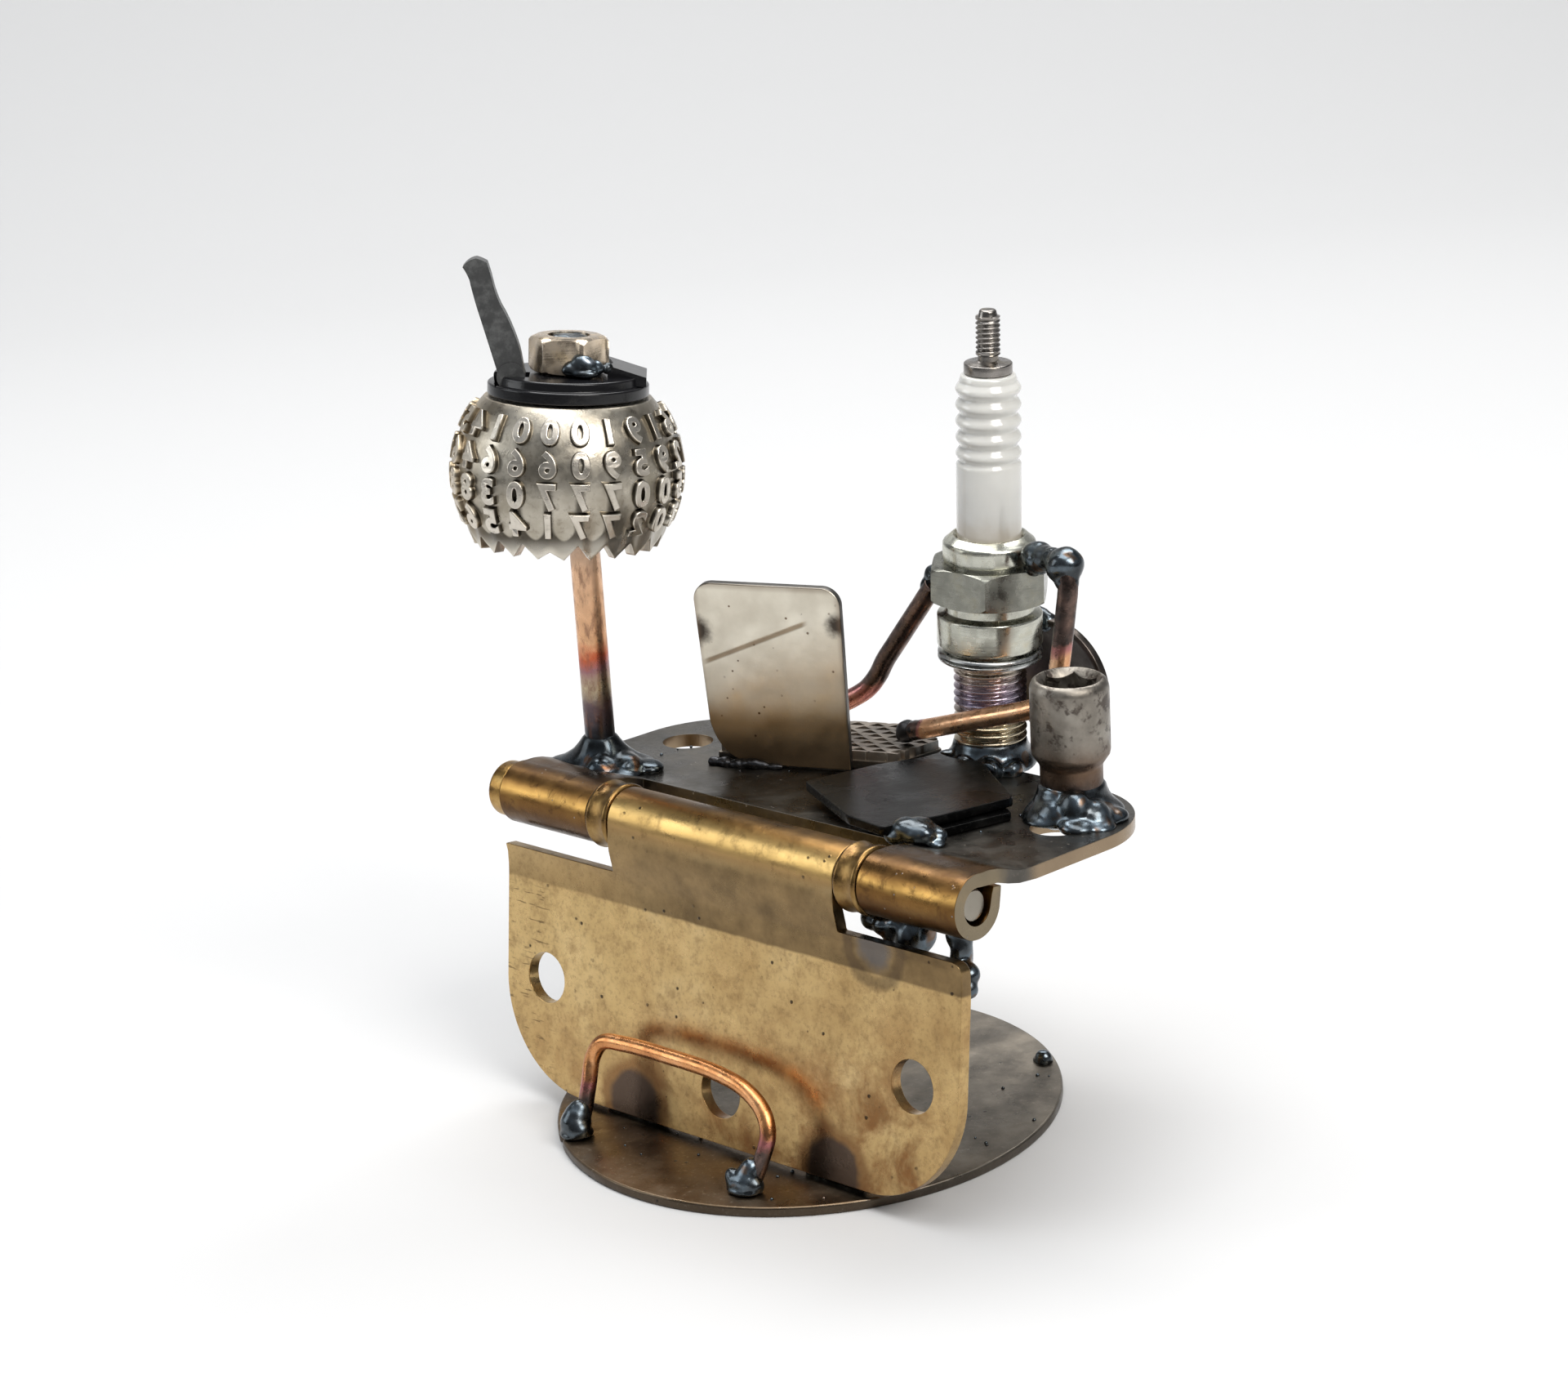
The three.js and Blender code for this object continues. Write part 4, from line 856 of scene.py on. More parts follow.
def socket_look():
    """Small impact-worn socket: satin grey, blotched brown and nearly black near its weld."""
    look = Look("worn_socket")
    look.base = look.ramp(look.noise(5, 4, 0.55), [
        (0.3, (0.15, 0.135, 0.115)),
        (0.55, (0.28, 0.255, 0.22)),
        (0.8, (0.38, 0.355, 0.31)),
    ])
    blotch = look.span(look.noise(2.0, 3, 0.6), 0.52, 0.66, 0.0, 0.8)
    look.stain(blotch, (0.065, 0.05, 0.042))
    low = look.wavy(look.axis("Z"), (4, 3), 4.0)
    look.stain(look.span(low, 15, 9, 0.0, 0.85), (0.13, 0.075, 0.045))
    look.stain(look.span(low, 9, 5, 0.0, 0.9), (0.045, 0.045, 0.05))
    look.rough(look.span(look.noise(1.6, 4), 0.3, 0.7, 0.32, 0.5))
    return look.bump((look.noise(0.4, 3), 0.025), (blotch, -0.04)).material


def ceramic_look():
    """White glazed alumina with a few specks, faintly browned at the metal collar."""
    look = Look("glazed_ceramic", metallic=0.0, Coat_Weight=0.6, Coat_Roughness=0.04, IOR=1.6)
    look.shader.inputs["Subsurface Weight"].default_value = 0.15
    look.shader.inputs["Subsurface Radius"].default_value = (0.002, 0.0018, 0.0015)
    look.shader.inputs["Subsurface Scale"].default_value = 0.5
    look.base = look.ramp(look.noise(8, 2), [(0.3, (0.62, 0.615, 0.58)), (0.7, (0.69, 0.685, 0.65))])
    low = look.wavy(look.axis("Z"), (3, 3), 4.0)
    look.stain(look.span(low, 47, 38, 0.0, 0.3), (0.40, 0.40, 0.385))
    look.stain(look.span(low, 41, 36.0, 0.0, 0.6), (0.40, 0.32, 0.22))
    speck = look.both(look.spots(2.4, 0.075), look.span(look.noise(5), 0.5, 0.58))
    look.stain(speck, (0.16, 0.10, 0.06))
    return look.rough(0.16).bump((look.noise(4, 2), 0.03)).material


def plastic_look(name="black_gloss_plastic", scuffed=False):
    """Black moulded plastic; the lever is scuffed grey."""
    look = Look(name, metallic=0.0, Specular_IOR_Level=0.4)
    if scuffed:
        worn = look.span(look.noise(1.6, 5, 0.7), 0.42, 0.7)
        look.base = look.mix(worn, (0.045, 0.046, 0.046), (0.09, 0.092, 0.091))
        look.rough(look.math("ADD", look.both(worn, 0.2), 0.36))
    else:
        dust = look.span(look.noise(2.2, 5, 0.7), 0.55, 0.78, 0.0, 0.3)
        look.base = look.mix(dust, (0.006, 0.006, 0.007), (0.03, 0.028, 0.025))
        look.rough(look.math("ADD", look.both(dust, 0.5), 0.2))
    return look.bump((look.noise(0.5, 3), 0.015), (look.noise(3), 0.04)).material


BRASS = brass_look()
LEAF = knuckle_look()
PIN_BRASS = bright_brass_look()
RING_BRASS = bright_brass_look("worn_ring_brass", 0.45)
STEEL = dark_steel_look()
MESH_STEEL = dark_steel_look("keyboard_mesh_steel", (0.30, 0.26, 0.22), False)
CHAIR_STEEL = dark_steel_look("chair_steel", (0.10, 0.085, 0.075), False)
BLACK = black_plate_look()
LID = lid_look()
WELD = weld_look()
DARK_WELD = weld_look("dark_weld_bead", (0.20, 0.10, 0.05), 0.5)
BURNT_WELD = dark_steel_look("burnt_weld", (0.045, 0.045, 0.048), False)
BRONZE_WELD = weld_look("bronze_weld_bead", (0.34, 0.27, 0.16))
SILVER_WELD = weld_look("silver_weld_bead", (0.50, 0.55, 0.62))
WASHER_STEEL = zinc_look("washer_steel", (0.55, 0.56, 0.55), 0.15)
NICKEL = ball_look()
ZINC = zinc_look()
HEX_ZINC = zinc_look("hexagon_zinc_plate", (0.27, 0.27, 0.235), 0.4)
NUT_STEEL = zinc_look("worn_nut_steel", (0.72, 0.60, 0.46), 0.5)
STUD_STEEL = zinc_look("stud_steel", (0.30, 0.28, 0.26), 0.4)
THREAD = thread_look()
SOCKET = socket_look()
CERAMIC = ceramic_look()
PLASTIC = plastic_look()
LEVER_PLASTIC = plastic_look("scuffed_lever_plastic", True)


# ---- Base disc ----
def base_disc():
    """The round base plate, with a slightly dented edge."""
    low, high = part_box("base_disc")
    radius = (high.x - low.x) / 2 / MM
    thick = (high.z - low.z) / MM
    edge = 0.35
    profile = [(0, 0), (radius - 14, 0), *arc(radius - edge, edge, edge, -90, 0, 4)]
    profile += [*arc(radius - edge, thick - edge, edge, 0, 90, 4), (radius * 0.72, thick), (0, thick)]

    def dented(r, angle, z):
        notch = math.exp(-((math.degrees(angle) - 236.0) / 1.1) ** 2)
        return r - (0.9 * notch if r > radius - 3 else 0.0)

    disc = new_object("base_plate", lathe(profile, 360, dented))
    smooth(disc, 50)
    return finished(disc, STEEL, ["base_disc"])


def weld(name, node, balls, place, voxel, ripple, ripple_size, seed, relaxing=12, core=None, material=None):
    """A bead of weld metal that stands for a CAD weld."""
    bead = blob(name, balls, place, voxel, ripple, ripple_size, seed, relaxing, core)
    if place is SHADE:
        bead = levelled(bead)
    return finished(bead, material or WELD, [node])


BASE_TOP = 1.5
BASE_BEADS = 46
DESK_BEADS = 34
SPATTER_REACH = 35.0
BEAD_RISE = 0.2


def spatter():
    """Beads of weld spatter frozen on the base disc and the desk."""
    rng = np.random.default_rng(7)
    on_base = []
    for _ in range(BASE_BEADS):
        angle = rng.uniform(-math.pi, math.pi)
        reach = SPATTER_REACH * math.sqrt(rng.uniform(0.02, 1))
        size = rng.uniform(0.12, 0.34)
        x, y = reach * math.cos(angle), reach * math.sin(angle)
        on_base.append((x, y, BASE_TOP + size * BEAD_RISE, size))
    on_desk = []
    for _ in range(DESK_BEADS):
        x, y = rng.uniform(-38, 38), rng.uniform(13, 40)
        if abs(x) > 28 and y > 30:
            continue
        size = rng.uniform(0.1, 0.26)
        on_desk.append((x, y, size * BEAD_RISE, size))
    for name, places, frame_of in (("base_spatter", on_base, WORLD), ("desk_spatter", on_desk, DESK_TOP)):
        bm = bmesh.new()
        for *centre, size in places:
            made = bmesh.ops.create_icosphere(bm, subdivisions=2, radius=size)
            bmesh.ops.translate(bm, vec=centre, verts=made["verts"])
        beads = new_object(name, bm, frame_of)
        beads.data.shade_smooth()
        finished(beads, WELD, [])


# ---- Hinge ----
def leaf_section(curl_end):
    """Section of a leaf: first axis along the leaf, second outward from the pin."""
    inner = LEAF_OFFSET - LEAF_THICKNESS
    tip = []
    if curl_end < 360:
        outer = BARREL_RADIUS
        tip = [
            (outer, -0.3), (outer + 0.18, 0.9), (outer + 0.3, 1.7), (outer - 1.3, 1.95),
            (outer - 1.7, 0.9),
        ]
    return [
        (DESK_REACH + 1, inner), (DESK_REACH + 1, LEAF_OFFSET), (SWAGE_REACH, LEAF_OFFSET),
        (SWAGE_REACH * 0.87, LEAF_OFFSET + 0.06), (SWAGE_REACH * 0.72, LEAF_OFFSET + 0.25),
        (SWAGE_REACH * 0.53, LEAF_OFFSET + 0.95), (SWAGE_REACH * 0.35, BARREL_RADIUS - 0.35),
        (SWAGE_REACH * 0.21, BARREL_RADIUS - 0.1), *arc(0, 0, BARREL_RADIUS, 80, curl_end, 60),
        *tip, *arc(0, 0, BORE_RADIUS, curl_end, 75, 48), (SWAGE_REACH * 0.35, inner + 1.55),
        (SWAGE_REACH * 0.53, inner + 0.85), (SWAGE_REACH * 0.72, inner + 0.3), (SWAGE_REACH, inner),
    ]


def leaf_outline(tabs, far):
    """Outline of a leaf seen flat: rounded far corners, and a tab for each knuckle."""
    straight = far - CORNER_RADIUS
    points = arc(-HALF + CORNER_RADIUS, straight, CORNER_RADIUS, 180, 90, 32)
    points += arc(HALF - CORNER_RADIUS, straight, CORNER_RADIUS, 90, 0, 32)
    ends_in_tab = any(abs(side) > HALF - 1 for tab in tabs for side in tab)
    if ends_in_tab:
        points.append((HALF, NOTCH_REACH))
    else:
        points += arc(HALF - NOTCH_CORNER, NOTCH_REACH + NOTCH_CORNER, NOTCH_CORNER, 0, -90, 6)
    for left, right in reversed(tabs):
        points += [(right, NOTCH_REACH), (right, -8), (left, -8), (left, NOTCH_REACH)]
    points.append((-HALF, NOTCH_REACH))
    return [p for n, p in enumerate(points) if n == 0 or p != points[n - 1]]


def leaf(name, tabs, far, curl_end, place, u, v):
    """One hinge leaf: its section drawn along the pin, cut to its outline, with three screw holes."""
    u, v = Vector(u), Vector(v)
    along = Vector((1, 0, 0))
    sign = 1 if u.cross(v).dot(along) > 0 else -1
    body = new_object(
        name, prism(leaf_section(curl_end), -HALF * sign - 0.01, HALF * sign + 0.01, u, v), place,
    )
    outline = prism(leaf_outline(tabs, far), -10, 10, along, u)
    cut(body, outline, place, "INTERSECT")
    for x, reach in SCREW_HOLES:
        middle = along * x + u * reach
        cut(body, cylinder(middle - v * 9, middle + v * 9, HOLE_RADIUS, 64), place)
    bevel(body, 0.2, 2, 34)
    smooth(body, 40)
    return body


def hinge():
    """Both leaves, the headed pin and the two rings between the knuckles."""
    down, front = (0, 0, -1), (0, -1, 0)
    upright = leaf("upright_hinge_leaf", [CENTRE_KNUCKLE], UPRIGHT_REACH, 380, UPRIGHT, down, front)
    finished(upright, BRASS, ["upright_leaf"])
    desk = leaf(
        "desk_hinge_leaf", [LEFT_KNUCKLE, RIGHT_KNUCKLE], DESK_REACH, 345, DESK, (0, 1, 0),
        (0, 0, 1),
    )
    finished(desk, LEAF, ["desk_leaf"])
    head = PIN_HEAD_LENGTH
    start = HALF + GAP + head
    profile = [
        (0, 0), (PIN_HEAD_RADIUS - 0.9, 0), *arc(PIN_HEAD_RADIUS - 0.7, 0.7, 0.7, -70, 0, 5),
        (PIN_HEAD_RADIUS, head - 0.25), (PIN_HEAD_RADIUS - 0.25, head), (PIN_RADIUS, head),
        (PIN_RADIUS, start + PIN_END - 0.5), (PIN_RADIUS - 0.25, start + PIN_END - 0.1),
        (0.8, start + PIN_END), (0, start + PIN_END),
    ]
    along = HINGE @ Matrix.Translation((-start * MM, 0, 0)) @ Matrix.Rotation(math.pi / 2, 4, "Y")
    pin = new_object("hinge_pin_headed", lathe(profile, 64), along)
    smooth(pin, 35)
    finished(pin, PIN_BRASS, ["hinge_pin"])
    for side, low, high in (
        ("left", LEFT_KNUCKLE[1] + GAP, CENTRE_KNUCKLE[0] - GAP),
        ("right", CENTRE_KNUCKLE[1] + GAP, RIGHT_KNUCKLE[0] - GAP),
    ):
        low, high = low - RING_CLEARANCE, high + RING_CLEARANCE
        width = high - low
        profile = [
            (BORE_RADIUS, 0), (RING_RADIUS - 0.5, 0), *arc(RING_RADIUS - 0.5, 0.5, 0.5, -75, 30, 5),
            (RING_RADIUS - RING_GROOVE, width * 0.42), (RING_RADIUS - RING_GROOVE, width * 0.58),
            *arc(RING_RADIUS - 0.5, width - 0.5, 0.5, -30, 75, 5), (RING_RADIUS - 0.5, width),
            (BORE_RADIUS, width),
        ]
        turn = HINGE @ Matrix.Translation((low * MM, 0, 0)) @ Matrix.Rotation(math.pi / 2, 4, "Y")
        ring = new_object(f"hinge_ring_{side}", lathe(profile, 72), turn)
        smooth(ring, 35)
        finished(ring, RING_BRASS, [f"bearing_ring_{side}"])


def hinge_welds():
    """The welds that lock the hinge, and the two rows of weld behind its foot."""
    weld("lock_bead_inner", "lock_weld_inner", [
        ((28.0, 2.2, -7.2), (2.6, 3.0, 3.4)), ((30.4, 1.4, -8.6), (2.2, 2.6, 3.6)),
        ((31.8, 2.4, -7.0), (1.6, 2.4, 3.0)), ((29.6, 0.4, -11.0), (2.6, 1.4, 2.4)),
        ((24.6, 0.6, -6.0), (2.0, 1.7, 1.7)), ((26.6, 0.8, -6.3), (2.1, 1.9, 1.8)),
        ((28.8, 1.0, -6.0), (2.0, 1.8, 1.8)), ((31.0, 1.4, -6.2), (1.7, 1.6, 1.7)),
    ], HINGE, 0.2, 0.2, 2.4, 3, 16)
    weld("lock_bead_outer", "lock_weld_outer", [
        ((38.6, 2.4, -5.8), (1.7, 2.2, 2.8)), ((39.2, 1.8, -8.6), (1.3, 2.0, 3.4)),
        ((40.4, 0.8, -10.8), (2.3, 1.9, 2.0)), ((41.6, 0.0, -12.4), (1.6, 1.4, 1.4)),
    ], HINGE, 0.2, 0.2, 2.2, 5, 18)
    for side, seed in (("left", 1), ("right", 2)):
        low, high = (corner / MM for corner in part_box(f"foot_weld_{side}"))
        middle = (low + high) / 2
        balls = []
        for step in np.linspace(-0.8, 0.8, 6):
            x = middle.x + step * (high.x - low.x) / 2
            balls.append(((x, middle.y - 0.4, 1.9), (1.9, 2.2, 1.4)))
            balls.append(((x + 0.3, middle.y - 1.3, 2.7), (1.5, 0.9, 1.5)))
        weld(f"foot_bead_{side}", f"foot_weld_{side}", balls, WORLD, 0.22, 0.25, 1.8, seed)


# ---- Foot rail ----
RAIL_RADIUS = 1.15
RAIL_ROUTE = [
    (-19.0, -28.3, 1.7), (-18.6, -27.4, 4.0), (-18.4, -25.9, 8.5), (-18.5, -24.5, 12.2),
    (-16.9, -23.8, 14.6), (-12.5, -23.4, 15.2), (-3.0, -23.4, 15.5), (6.0, -23.4, 15.3),
    (11.6, -23.7, 14.3), (15.4, -24.4, 12.2), (16.9, -25.3, 9.6), (16.4, -26.4, 6.2),
    (15.0, -27.7, 1.7),
]


def foot_rail():
    """The bow of rod in front of the upright leaf, with a weld at each foot."""
    rail = new_object("foot_rail_bow", rod(RAIL_ROUTE, RAIL_RADIUS, 28, 120))
    rail.data.shade_smooth()
    coat = copper_look("foot_rail_copper", lambda look: look.span(look.axis("Z"), 13.5, 5.0, 0.0, 0.72))
    finished(rail, coat, ["foot_rail"])
    weld("foot_rail_bead_left", "foot_rail_weld_left", [
        ((-19.0, -28.7, 3.3), (2.35, 2.3, 2.3)), ((-18.0, -29.2, 2.8), (2.0, 1.8, 1.6)),
        ((-18.9, -28.3, 4.2), (2.0, 2.0, 2.1)), ((-18.7, -27.9, 5.1), (1.6, 1.6, 1.8)),
        ((-18.8, -28.8, 2.0), (2.7, 2.5, 0.7)),
    ], WORLD, 0.18, 0.12, 2.2, 4, 16)
    weld("foot_rail_bead_right", "foot_rail_weld_right", [
        ((14.8, -28.3, 2.9), (2.2, 2.0, 2.1)), ((13.6, -28.6, 2.9), (1.9, 1.7, 1.8)),
        ((15.8, -28.0, 2.6), (1.7, 1.6, 1.6)), ((14.9, -27.9, 3.8), (1.8, 1.7, 1.9)),
        ((15.2, -27.5, 4.7), (1.5, 1.5, 1.8)), ((14.4, -28.4, 2.0), (3.0, 2.2, 0.7)),
        ((12.9, -29.0, 3.7), (1.1, 1.1, 1.3)),
    ], WORLD, 0.18, 0.12, 1.8, 6, 14)
    low, high = (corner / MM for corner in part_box("rim_spatter_bead"))
    middle = (low + high) / 2
    weld("rim_bead", "rim_spatter_bead", [
        ((middle.x, middle.y, 2.2), (1.35, 1.2, 1.25)),
        ((middle.x - 0.4, middle.y + 0.3, 1.7), (1.7, 1.4, 0.6)),
    ], WORLD, 0.15, 0.08, 1.0, 2)


# ---- Lamp ----
LAMP_POST_RADIUS = 2.2
LAMP_POST_LENGTH = 64.0
COLLAR_WAVES = ((2, 0.10), (3, 0.08), (5, 0.05))


def collar(name, node, place, core, foot, height, seed, material, extra):
    """A fillet of weld round a post: a hollow cone that spreads unevenly into a skirt on the desk."""
    rng = np.random.default_rng(seed)
    waves = []
    for turns, size in COLLAR_WAVES:
        waves.append((turns, size, rng.uniform(0, 2 * math.pi)))
    width = foot - core

    def uneven(r, angle, z):
        """The skirt's radius at an angle: it swells and shrinks round the post."""
        if r < core + 0.05:
            return r
        swell = sum(size * math.sin(turns * angle + phase) for turns, size, phase in waves)
        return core + (r - core) * (1.0 + 2.0 * swell)

    profile = [
        (0, 0.05), (foot, 0.05), (foot, 0.5), (foot - 0.14 * width, 1.0),
        (foot - 0.32 * width, 1.45), (core + 0.48 * width, height * 0.40),
        (core + 0.30 * width, height * 0.56), (core + 0.16 * width, height * 0.75),
        (core + 0.35, height * 0.92), (core + 0.02, height), (0, height),
    ]
    weld(name, node, extra, place, 0.2, 0.10, 3.0, seed, 40, lathe(profile, 64, uneven), material)


def lamp_post():
    """The post and the skirt of weld round its foot."""
    ends = [(0, 0, 0.2), (0, 0, LAMP_POST_LENGTH)]
    post = new_object("lamp_post_rod", rod(ends, LAMP_POST_RADIUS, 40, 2, 0.25), LAMP)
    post.data.shade_smooth()
    finished(post, post_look(), ["lamp_post"])
    collar("lamp_post_bead", "lamp_post_weld", LAMP, LAMP_POST_RADIUS, 7.4, 5.6, 11, DARK_WELD, [
        ((4.0, 0.6, 1.0), (2.9, 2.8, 2.2)), ((2.8, -3.0, 1.2), (2.4, 2.2, 2.2)),
        ((-5.4, -2.4, 0.4), (3.2, 2.6, 1.2)), ((-1.0, -5.0, 0.4), (3.0, 2.4, 1.2)),
        ((6.2, 3.4, 0.4), (2.4, 2.4, 1.2)),
    ])


def wall_reach(radius, z):
    """Distance of the ball's wall from its axis: a circle that straightens towards the teeth."""
    bend = max(z, STRAIGHT_BELOW)
    return math.sqrt(max(radius ** 2 - bend ** 2, 0)) - (bend - z) * STRAIGHT_SLOPE


def ball_surface():
    """The type ball's wall: a band of a sphere with a crown of pointed teeth, open underneath."""
    per_tooth = 12
    columns = TEETH * per_tooth
    rows = 26
    bm = bmesh.new()
    wall_grid = []
    for radius in (BALL_RADIUS, BALL_INNER):
        grid = []
        top = BALL_TOP if radius == BALL_RADIUS else BALL_TOP - 2.0
        for i in range(rows + 1):
            ring = []
            for j in range(columns):
                phase = (j / per_tooth) % 1.0
                tooth = j // per_tooth
                tent = abs(phase - 0.5) * 2
                depth = TOOTH_DEPTH * (1.0 if tooth != TEETH * 3 // 4 else 0.55)
                low = BALL_TIP + depth * (1 - tent)
                z = top + (low - top) * (i / rows)
                angle = 2 * math.pi * (j - per_tooth / 2) / columns
                flat = 0.16 * math.cos(2 * math.pi * phase) if radius == BALL_RADIUS else 0.0
                r = wall_reach(radius, z) - flat * (0.5 - 0.5 * math.cos(math.pi * i / rows))
                ring.append(bm.verts.new((r * math.cos(angle), r * math.sin(angle), z)))
            grid.append(ring)
        wall_grid.append(grid)
    outer, inner = wall_grid
    grid_faces(bm, outer, True, False)
    grid_faces(bm, inner, True, False)
    grid_faces(bm, [outer[-1], inner[-1]], True, False)
    roof = [outer[0]]
    for r, z in ((4.35, BALL_TOP), (4.35, 3.3), (5.8, 3.3), (5.8, BALL_TOP - 2.0)):
        angles = [2 * math.pi * (j - per_tooth / 2) / columns for j in range(columns)]
        roof.append([bm.verts.new((r * math.cos(a), r * math.sin(a), z)) for a in angles])
    roof.append(inner[0])
    grid_faces(bm, roof, True, False)
    return bm


DIGITS = "0123456789"
DIGIT_HEIGHT = 3.35
DIGIT_RELIEF = 0.85
DIGIT_ROWS = (7.35, 3.05, -1.25, -5.4)
GLYPH_SCALE = 1.38


def raised_digit(text, height):
    """One mirrored digit in relief, lying in X and Y, with sloping walls down to its root."""
    curve = bpy.data.curves.new("digit", "FONT")
    curve.body = text
    curve.size = height * GLYPH_SCALE * MM
    curve.align_x = "CENTER"
    curve.align_y = "CENTER"
    curve.extrude = 0.42 * MM
    curve.bevel_depth = 0.13 * MM
    curve.bevel_resolution = 2
    curve.offset = 0.10 * MM
    curve.resolution_u = 6
    holder = bpy.data.objects.new("digit", curve)
    bpy.context.scene.collection.objects.link(holder)
    bpy.context.view_layer.update()
    mesh = bpy.data.meshes.new_from_object(holder.evaluated_get(bpy.context.evaluated_depsgraph_get()))
    bpy.data.objects.remove(holder)
    bpy.data.curves.remove(curve)
    return mesh


def shade():
    """The type ball: its toothed wall with rows of raised, mirrored digits."""
    ball = new_object("type_ball_wall", ball_surface(), SHADE)
    bevel(ball, 0.14, 2, 38)
    smooth(ball, 40)
    bm = bmesh.new()
    bm.from_mesh(ball.data)
    digits = {text: raised_digit(text, DIGIT_HEIGHT) for text in DIGITS}
    rng = np.random.default_rng(5)
    for row_height in DIGIT_ROWS:
        tilt = math.asin(row_height / BALL_RADIUS)
        for column in range(TEETH):
            text = DIGITS[int(rng.integers(10))]
            yaw = 2 * math.pi * column / TEETH
            before = len(bm.verts)
            bm.from_mesh(digits[text])
            bm.verts.ensure_lookup_table()
            for v in bm.verts[before:]:
                x, y, lift = -v.co.x / MM, v.co.y / MM, v.co.z / MM
                height = BALL_RADIUS - 0.15 + (lift + 0.55) / 1.1 * (DIGIT_RELIEF + 0.15)
                taper = 1.0 + 0.16 * (BALL_RADIUS + DIGIT_RELIEF - height)
                angle = yaw + x * taper / (BALL_RADIUS * math.cos(tilt))
                slope = tilt + y * taper / BALL_RADIUS
                ring = height * math.cos(slope)
                place = (ring * math.cos(angle), ring * math.sin(angle), height * math.sin(slope))
                v.co = Vector(place) * MM
    bmesh.ops.recalc_face_normals(bm, faces=bm.faces)
    bm.to_mesh(ball.data)
    bm.free()
    for mesh in digits.values():
        bpy.data.meshes.remove(mesh)
    ball.data.shade_smooth()
    ball.data.set_sharp_from_angle(angle=math.radians(32))
    finished(levelled(ball), NICKEL, ["shade_ball"])


LEVER_PIVOT = (-8.0, 13.9)
LEVER_MIDDLE = -3.0
LEVER_BOSS = 2.0
CAP_RADIUS = 11.5
CAP_BOTTOM = 10.95
CAP_STEP = 12.7
CAP_TOP = 14.0
CAP_BORE = 3.5
WEDGE_HALF = 4.5
SLOT_LOW = -5.4
SLOT_HIGH = -0.6
BOSS_CLEARANCE = 0.6
CLIP_REACH = 6.4
CLIP_WIRE = 0.4


def shade_cap():
    """The black cap with its wedge, the slot that the lever turns in, the clip and the pivot pin."""
    x, z = LEVER_PIVOT
    outline = [
        (CAP_BORE, CAP_BOTTOM), (CAP_RADIUS - 0.2, CAP_BOTTOM),
        *arc(CAP_RADIUS - 0.25, CAP_BOTTOM + 0.25, 0.25, -60, 0, 3),
        *arc(CAP_RADIUS - 0.3, CAP_STEP - 0.3, 0.3, 0, 90, 4), (CAP_RADIUS - 0.75, CAP_STEP + 0.02),
        (CAP_RADIUS - 0.85, CAP_STEP + 0.15),
        *arc(CAP_RADIUS - 1.25, CAP_TOP - 0.35, 0.35, 10, 90, 4), (CAP_BORE, CAP_TOP),
    ]
    cap = new_object("lamp_cap", lathe(outline, 128), SHADE)
    wedge = [(5.6, CAP_TOP - 1.0), (11.1, CAP_TOP - 1.2), (11.1, CAP_TOP + 0.1), (5.6, CAP_TOP + 1.75)]
    cut(cap, prism(wedge, -WEDGE_HALF, WEDGE_HALF, (1, 0, 0), (0, 0, 1)), SHADE, "UNION")
    slot = [(x - 3.2, z - 0.4), (x + 2.35, z - 0.4), (x + 2.35, z + 4), (x - 4.5, z + 4)]
    cutters = [
        cylinder((x, SLOT_LOW, z), (x, SLOT_HIGH, z), LEVER_BOSS + BOSS_CLEARANCE, 40),
        prism(slot, -SLOT_HIGH, -SLOT_LOW, (1, 0, 0), (0, 0, 1)),
        cylinder((0, 0, 14.02), (0, 0, 19.4), 6.3, 48),
    ]
    for cutter in cutters:
        cut(cap, cutter, SHADE)
    bevel(cap, 0.16, 2, 40)
    smooth(cap, 40)
    finished(levelled(cap), PLASTIC, ["shade_cap"])
    bow = np.radians(np.linspace(20, 300, 15))
    ring = [(CLIP_REACH * math.cos(a), CLIP_REACH * math.sin(a), CAP_BOTTOM + 0.62) for a in bow]
    clip = new_object("cap_spring_clip", rod(ring, CLIP_WIRE, 12, 60), SHADE)
    clip.data.shade_smooth()
    finished(levelled(clip), STUD_STEEL, ["lever_spring_clip"])
    pin = new_object("lever_pin", rod([(x, -6.6, z - 1), (x, 0.6, z - 1)], 0.5, 20, 2), SHADE)
    pin.data.shade_smooth()
    finished(levelled(pin), STUD_STEEL, ["lever_pivot_pin"])


BLADE_HALF = 1.6
LEVER_EDGES = [
    [(-9.9, 14.5), (-11.4, 19.2), (-12.7, 23.1)], [(-12.7, 23.1), (-13.5, 25.6), (-13.9, 27.4)],
    [(-13.9, 27.4), (-14.4, 28.6), (-14.9, 29.2)], [(-14.9, 29.2), (-14.2, 30.3), (-13.0, 30.5)],
    [(-13.0, 30.5), (-12.2, 30.3), (-11.5, 29.9)], [(-11.5, 29.9), (-10.9, 28.2), (-10.6, 26.9)],
    [(-10.6, 26.9), (-10.0, 24.6), (-8.9, 22.9)], [(-8.9, 22.9), (-7.6, 20.4), (-6.8, 17.9)],
    [(-6.8, 17.9), (-6.4, 16.2), (-6.1, 14.4)],
]


